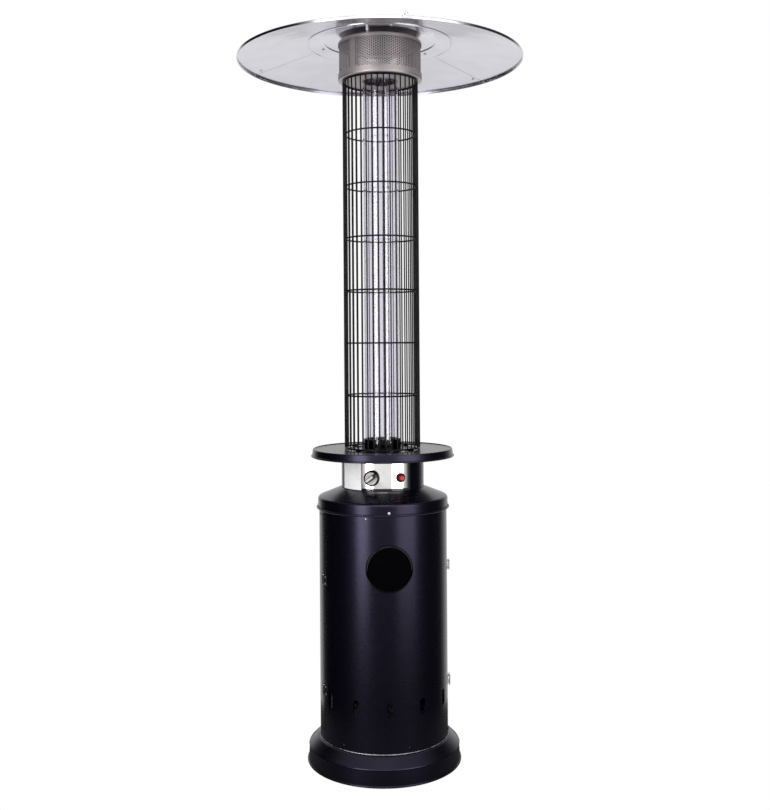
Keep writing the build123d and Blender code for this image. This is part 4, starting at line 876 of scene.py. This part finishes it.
# ---------------------------------------------------------------- glass and cage
class HEATER_OT_tube(HeaterStep, bpy.types.Operator):
    """Glass tube with fire-polished ends, and the collar and guide that hold it"""
    bl_idname = "heater.tube"
    bl_label = "Glass tube"

    def build(self, sizes):
        radius, foot, top = reach("glass_tube"), low("glass_tube"), high("glass_tube")
        made = lathe(bent(band(radius - 3, radius, foot, top), [1.3, 1.3]), 128)
        mounted(new_object("glass_tube_drawn", made, "glass"), "root", "glass", "glass_tube")
        dress("enamel", "tube_collar")
        dress("head", "tube_guide")
        dress("galvanised", "diffuser_cap")
        dress("fired", "burner", "burner_cap")


class HEATER_OT_cage(HeaterStep, bpy.types.Operator):
    """Wire cage round the glass, its feet and their screws"""
    bl_idname = "heater.cage"
    bl_label = "Cage"

    def build(self, sizes):
        hoop = sizes.hoop_radius
        piece = grown(new_object("cage", bmesh.new(), "cage"), cage_tree(), wires=sizes.wires, hoops=sizes.hoops,
                      cage_radius=(reach("cage_wires") - 1.5) * MM, wire_radius=sizes.wire_radius, hoop_wire=hoop,
                      low=low("cage_rings") * MM + hoop, high=high("cage_rings") * MM - hoop,
                      material=finish("cage"))
        mounted(piece, "root", "cage_paint", "cage_wires", "cage_rings")
        dress("cage", "cage_feet")
        circle = 92                     # radius of the circle of screws, mm
        screw = screw_head(4.0, 2.4, Matrix.Translation((circle * MM, 0, high("cage_feet") * MM)))
        mounted(repeated("cage_screw_heads", screw, "zinc", 4, 45.0), "root", "zinc", "cage_screws")


# ---------------------------------------------------------------- head and reflector
class HEATER_OT_head(HeaterStep, bpy.types.Operator):
    """Brushed head: dished pan and cap with pierced sheet between them, lapped at one side"""
    bl_idname = "heater.head"
    bl_label = "Head"

    def build(self, sizes):
        rim, foot, lip = reach("head_base"), low("head_base"), high("head_base")
        pan = lathe(walled(bent([(reach("glass_tube") + 0.9, foot), (rim, foot), (rim, lip)], [5.0])))
        mounted(new_object("head_pan", pan, "head"), "root", "stainless", "head_base")
        cap_foot, top = low("head_cap"), high("head_cap")
        cap = lathe(walled(bent([(rim, cap_foot), (rim, top), (0, top)], [5.0])))
        # The cap's faces inside the head take the screen's finish, so they carry its painted shade: near black inside
        # the sheet's wall.
        for face in cap.faces:
            spot = face.calc_center_median()
            face.material_index = int(spot.z < (top - 0.2) * MM and spot.xy.length < (rim - 0.5) * MM)
        mounted(new_object("head_cap_skin", cap, "head", "screen"), "root", "stainless", "head_cap")
        wall = reach("head_screen")
        piece = grown(new_object("head_screen_skin", bmesh.new(), "screen"), screen_tree(), math.radians(50),
                      columns=sizes.screen_columns, rows=sizes.screen_rows, pitch=sizes.hole_pitch,
                      hole=sizes.hole_radius, radius=wall * MM, sheet=sizes.screen_sheet,
                      height=(lip + cap_foot) / 2 * MM - sizes.hole_pitch / 4, material=finish("screen"))
        mounted(piece, "root", "stainless", "head_screen")
        seam, lap = -49.5, 8.8          # where the sheet's ends overlap, in degrees of azimuth
        strip = lathe(band(wall + 0.1, wall + 0.8, lip - 6, cap_foot + 6), 12, seam, lap)
        mounted(new_object("head_lap", strip, "head"), "root", "stainless")


class HEATER_OT_reflector(HeaterStep, bpy.types.Operator):
    """Reflector in three pressed panels with rolled rims, their clamp ring, centre disc, seam bolts and studs"""
    bl_idname = "heater.reflector"
    bl_label = "Reflector"

    def build(self, sizes):
        panels = ("reflector_panel_1", "reflector_panel_2", "reflector_panel_3")
        rim = max(abs(value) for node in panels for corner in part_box(node) for value in corner[:2]) / MM
        foot, slope = low("reflector_panel_1"), math.tan(math.radians(REFLECTOR_PITCH))
        inner, clamp, centre, flat = rim - 245.5, rim - 198.5, rim - 206.5, rim - 281.5

        def skin(radius, lift=0.0):
            return radius, foot + 8 + (rim - radius) * slope + lift

        gap, bead = math.degrees(sizes.seam), sizes.hem_radius / MM
        start, arc = 90, 120 - gap      # of the first panel, in degrees of azimuth
        panel = lathe(walled(bent([(rim, foot + bead), skin(rim), skin(inner)], [2.0]), POLISHED_SHEET), 54, start, arc)
        lathe(tube_outline(rim - bead, foot + bead, bead, 12), 54, start, arc, panel)
        lap = [skin(rim - 4, 0.05), skin(rim - 4, 1.05), skin(clamp, 1.05), skin(clamp, 0.05)]
        lathe(lap, 3, start + arc - gap, 4 + 3 * gap, panel)
        mounted(repeated("reflector_panels", panel, "reflector", 3, 3.0), "root", "reflector_alloy", *panels)

        under = -2.1
        ring = bent([skin(inner, under), skin(clamp - 7, under), skin(clamp - 5, under - 1.3), skin(clamp - 3, under),
                     skin(clamp, under)], [0.8, 0.8, 0.8])
        crown = skin(flat, 1.05)[1]
        disc = bent([skin(centre, 1.05), (flat, crown), (0, crown)], [14.0])
        for name, path, node in (("clamp_ring_skin", ring, "clamp_ring"), ("centre_disc_skin", disc, "centre_disc")):
            piece = new_object(name, lathe(walled(path, POLISHED_SHEET)), "reflector")
            mounted(piece, "root", "reflector_alloy", node)

        bolts = bmesh.new()
        lean = Matrix.Rotation(math.radians(REFLECTOR_PITCH), 4, "Y")
        for radius, below in ((inner + 15, -3.2), (rim - 29.5, -2.1)):
            spot = Matrix.Translation((radius * MM, 0, skin(radius)[1] * MM)) @ lean
            head = [(0, below - 1.8), (2.6, below - 1.7), (4.3, below - 0.6), (4.5, below), (2.5, below), (2.5, 1.0),
                    (0, 1.0)]
            cap = [(0, 5.8), (4.2, 5.8), (4.1, 8.2), (3.3, 10.6), (1.8, 12.0), (0, 12.4)]
            for outline, steps in ((head, 24), (nut(10, 5, 1.05), 6), (cap, 24)):
                turned_part(outline, steps, spot, bolts)
        mounted(repeated("seam_bolts_zinc", bolts, "zinc", 3, 5.0), "root", "zinc", "seam_bolts")

        top, studs = high("head_cap"), bmesh.new()
        stud = [(0, top), (3, top), (3, crown + 6.4), (2.4, crown + 7), (0, crown + 7)]
        for outline, steps in ((stud, 20), (nut(10, 4, top, 2.9), 6), (nut(10, 5, crown - 6.1, 2.9), 6),
                               (nut(10, 5, crown, 2.9), 6)):
            turned_part(outline, steps, Matrix.Translation(((flat - 20) * MM, 0, 0)), studs)
        mounted(repeated("studs_zinc", studs, "zinc", 3, -24.0), "root", "zinc", "reflector_studs", "stud_nuts")


# ---------------------------------------------------------------- wheels and inner parts
class HEATER_OT_wheels(HeaterStep, bpy.types.Operator):
    """Spoked wheels behind the base with a grooved tread, on their axle and bracket"""
    bl_idname = "heater.wheels"
    bl_label = "Wheels"

    def build(self, sizes):
        for node, body in (("wheel_left", "wheel_l"), ("wheel_right", "wheel_r")):
            lo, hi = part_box(node)
            centre, half, radius = (lo + hi) / 2, (hi.x - lo.x) / 2 / MM, (hi.z - lo.z) / 2 / MM
            rib = [(9.6, -2.6), (29.4, -2.0), (29.4, 2.0), (9.6, 2.6)]
            spoke = slab(rib, [(-half + 2.5, 0.6), (-half + 3.2, 0.0), (half - 3.2, 0.0), (half - 2.5, 0.6)])
            piece = repeated(f"{node}_moulded", spoke, "wheel", 8, 90.0)
            made = bmesh.new()
            made.from_mesh(piece.data)
            tread = [(28.8, -half + 1), (29.6, -half), (radius - 2.5, -half), (radius - 0.7, -half + 1),
                     (radius, -half + 3), (radius, -4), (radius - 1, -3), (radius - 1, 3), (radius, 4),
                     (radius, half - 3), (radius - 0.7, half - 1), (radius - 2.5, half), (29.6, half),
                     (28.8, half - 1), (28.8, 1.5), (28.8, -1.5)]
            hub = [(4.05, -half), (9.2, -half), (10, -half + 0.8), (10, half - 0.8), (9.2, half), (4.05, half)]
            for outline, steps in ((tread, 72), (band(9.5, 29.2, -1.5, 1.5), 72), (hub, 40)):
                lathe(outline, steps, into=made)
            made.transform(Matrix.Translation(centre) @ Matrix.Rotation(math.pi / 2, 4, "Y"))
            shaded(made).to_mesh(piece.data)
            made.free()
            mounted(piece, body, "wheel_plastic", node)
        dress("body", "wheel_bracket")
        dress("zinc", "axle")


class HEATER_OT_inner_parts(HeaterStep, bpy.types.Operator):
    """Finishes of the gas train and the parts inside the body, and the stop behind the door's foot"""
    bl_idname = "heater.inner_parts"
    bl_label = "Inner parts"

    def build(self, sizes):
        dress("brass", "gas_valve", "stem_bush", "valve_stem", "inlet_pipe")
        dress("galvanised", "floor_pan", "bulkhead", "burner_deck", "burner_pipe")
        dress("black_zinc", "support_struts")
        wall, foot = reach("housing") - 4.5, high("floor_pan") - 1.0
        start, arc = 86, 206            # of the stop, in degrees of azimuth
        stop = lathe(band(wall - 0.8, wall, foot, foot + 18), 64, start, arc)
        mounted(new_object("door_stop", stop, "black_zinc"), "root", "galvanised")
        dress("zinc", "pilot_burner", "spark_electrode", "thermocouple")
        dress("knob", "tilt_switch")


# ---------------------------------------------------------------- stage
def softbox(name, azimuth, distance, height, width, tall, power, lean=0.0):
    """Rectangular light facing the heater's axis, leaning down by so many degrees."""
    data = bpy.data.lights.new(name, "AREA")
    data.shape, data.size, data.size_y, data.energy = "RECTANGLE", width, tall, power
    light = bpy.data.objects.new(name, data)
    turn = math.radians(azimuth)
    light.location = (distance * math.sin(turn), -distance * math.cos(turn), height)
    light.rotation_euler = (math.radians(90 - lean), 0, turn)
    bpy.context.scene.collection.objects.link(light)


def seen(tree):
    """One on rays that the eye follows straight or through glass, else zero."""
    path = add_node(tree, "ShaderNodeLightPath").outputs
    return add_node(tree, "ShaderNodeMath", {0: path["Is Camera Ray"], 1: path["Is Transmission Ray"]},
                    operation="MAXIMUM").outputs[0]


class HEATER_OT_stage(HeaterStep, bpy.types.Operator):
    """Camera, white surroundings, three soft lights and a pale floor that keeps the shadow"""
    bl_idname = "heater.stage"
    bl_label = "Stage"

    def build(self, sizes):
        scene = bpy.context.scene
        eye, view, roll = (-0.2645, -2.934, 1.18), -5.15, -0.39     # metres, and degrees
        data = bpy.data.cameras.new("camera")
        data.lens, data.sensor_width, data.sensor_height = 45.8, 36.0, 36.0
        data.shift_x, data.shift_y = 0.004, -0.076
        camera = bpy.data.objects.new("camera", data)
        camera.matrix_world = (Matrix.Translation(eye) @ Matrix.Rotation(math.radians(view), 4, "Z")
                               @ Matrix.Rotation(math.pi / 2, 4, "X") @ Matrix.Rotation(math.radians(roll), 4, "Z"))
        scene.collection.objects.link(camera)
        scene.camera = camera
        scene.view_settings.view_transform = "Standard"

        softbox("softbox_left", view - 35.5, 2.9, 1.35, 1.0, 2.9, 54)
        softbox("softbox_right", view + 41, 2.9, 1.35, 1.7, 2.9, 42)
        softbox("softbox_above", view, 2.6, 3.0, 1.6, 0.8, 22, 48)

        # The world is white to the eye, grey to matt surfaces, and to mirrors bright only behind, above, ahead and
        # below the heater, so that polished metal has dark bands and gloss black stays black.
        world = bpy.data.worlds.new("surroundings")
        scene.world = world
        world.use_nodes = True
        tree = world.node_tree
        tree.nodes.clear()
        away = add_node(tree, "ShaderNodeTexCoord").outputs["Generated"]
        away = add_node(tree, "ShaderNodeSeparateXYZ", {0: away}).outputs
        masks = {}
        for name, axis, start, end, least, most in (
                ("behind", "Y", 0.45, 0.85, 0.03, 0.95), ("inward", "X", -0.66, -0.42, 0.0, 1.0),
                ("above", "Z", 0.6, 0.9, 0.0, 0.9), ("raised", "Z", -0.168, -0.134, 0.0, 1.0),
                ("ahead", "Y", -0.3, -0.65, 0.0, 1.0), ("below", "Z", -0.5, -0.62, 0.0, 0.9)):
            masks[name] = add_node(tree, "ShaderNodeMapRange", {
                "Value": away[axis], "From Min": start, "From Max": end, "To Min": least, "To Max": most},
                interpolation_type="SMOOTHSTEP").outputs[0]
        add_nodes(tree, masks, [
            ("back", "Math MULTIPLY", "behind", "inward"), ("front", "Math MULTIPLY", "raised", "ahead"),
            ("top", "Math MAXIMUM", "back", "above"), ("upper", "Math MAXIMUM", "top", "front"),
            ("glossy", "Math MAXIMUM", "upper", "below")])
        mirrored = add_node(tree, "ShaderNodeLightPath").outputs["Is Glossy Ray"]
        level = add_node(tree, "ShaderNodeMix", {"Factor": mirrored, "A": 0.5, "B": masks["glossy"]}).outputs[0]
        level = add_node(tree, "ShaderNodeMix", {"Factor": seen(tree), "A": level, "B": 1.0}).outputs[0]
        glow = add_node(tree, "ShaderNodeBackground", {"Color": linear("#FFFFFF"), "Strength": level})
        add_node(tree, "ShaderNodeOutputWorld", {"Surface": glow.outputs[0]})

        floor = bmesh.new()
        bmesh.ops.create_circle(floor, cap_ends=True, segments=96, radius=0.55)
        floor.transform(Matrix.Translation((0, 0, -0.0005)))
        mesh = bpy.data.meshes.new("floor")
        floor.to_mesh(mesh)
        floor.free()
        plane = bpy.data.objects.new("floor", mesh)
        scene.collection.objects.link(plane)
        mesh.materials.append(finish("paper"))
        tree = finish("paper").node_tree
        lift = add_node(tree, "ShaderNodeMath", {0: seen(tree), 1: 0.92}, operation="MULTIPLY").outputs[0]
        tree.links.new(lift, tree.nodes["Principled BSDF"].inputs["Emission Strength"])


STEPS = (HEATER_OT_base, HEATER_OT_body, HEATER_OT_disc, HEATER_OT_hardware, HEATER_OT_lid, HEATER_OT_controls,
         HEATER_OT_table, HEATER_OT_tube, HEATER_OT_cage, HEATER_OT_head, HEATER_OT_reflector, HEATER_OT_wheels,
         HEATER_OT_inner_parts, HEATER_OT_stage)


class HEATER_PT_panel(bpy.types.Panel):
    """Lists the heater's steps, sizes and colours in the sidebar"""
    bl_idname = "HEATER_PT_panel"
    bl_label = "Patio heater"
    bl_space_type = "VIEW_3D"
    bl_region_type = "UI"
    bl_category = "Heater"

    def draw(self, context):
        for step in STEPS:
            self.layout.operator(step.bl_idname)
        for group in (context.scene.heater_sizes, context.scene.heater_colours):
            box = self.layout.box()
            for name in group.bl_rna.properties.keys():
                if name not in {"rna_type", "name"}:
                    box.prop(group, name)


CLASSES = (HeaterSizes, HeaterColours, *STEPS, HEATER_PT_panel)


def register():
    for cls in CLASSES:
        bpy.utils.register_class(cls)
    bpy.types.Scene.heater_sizes = bpy.props.PointerProperty(type=HeaterSizes)
    bpy.types.Scene.heater_colours = bpy.props.PointerProperty(type=HeaterColours)


def unregister():
    del bpy.types.Scene.heater_colours
    del bpy.types.Scene.heater_sizes
    for cls in reversed(CLASSES):
        bpy.utils.unregister_class(cls)


def main():
    """Registers the add-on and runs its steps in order."""
    register()
    for step in STEPS:
        group, name = step.bl_idname.split(".")
        getattr(getattr(bpy.ops, group), name)()


if __name__ == "__main__":
    main()
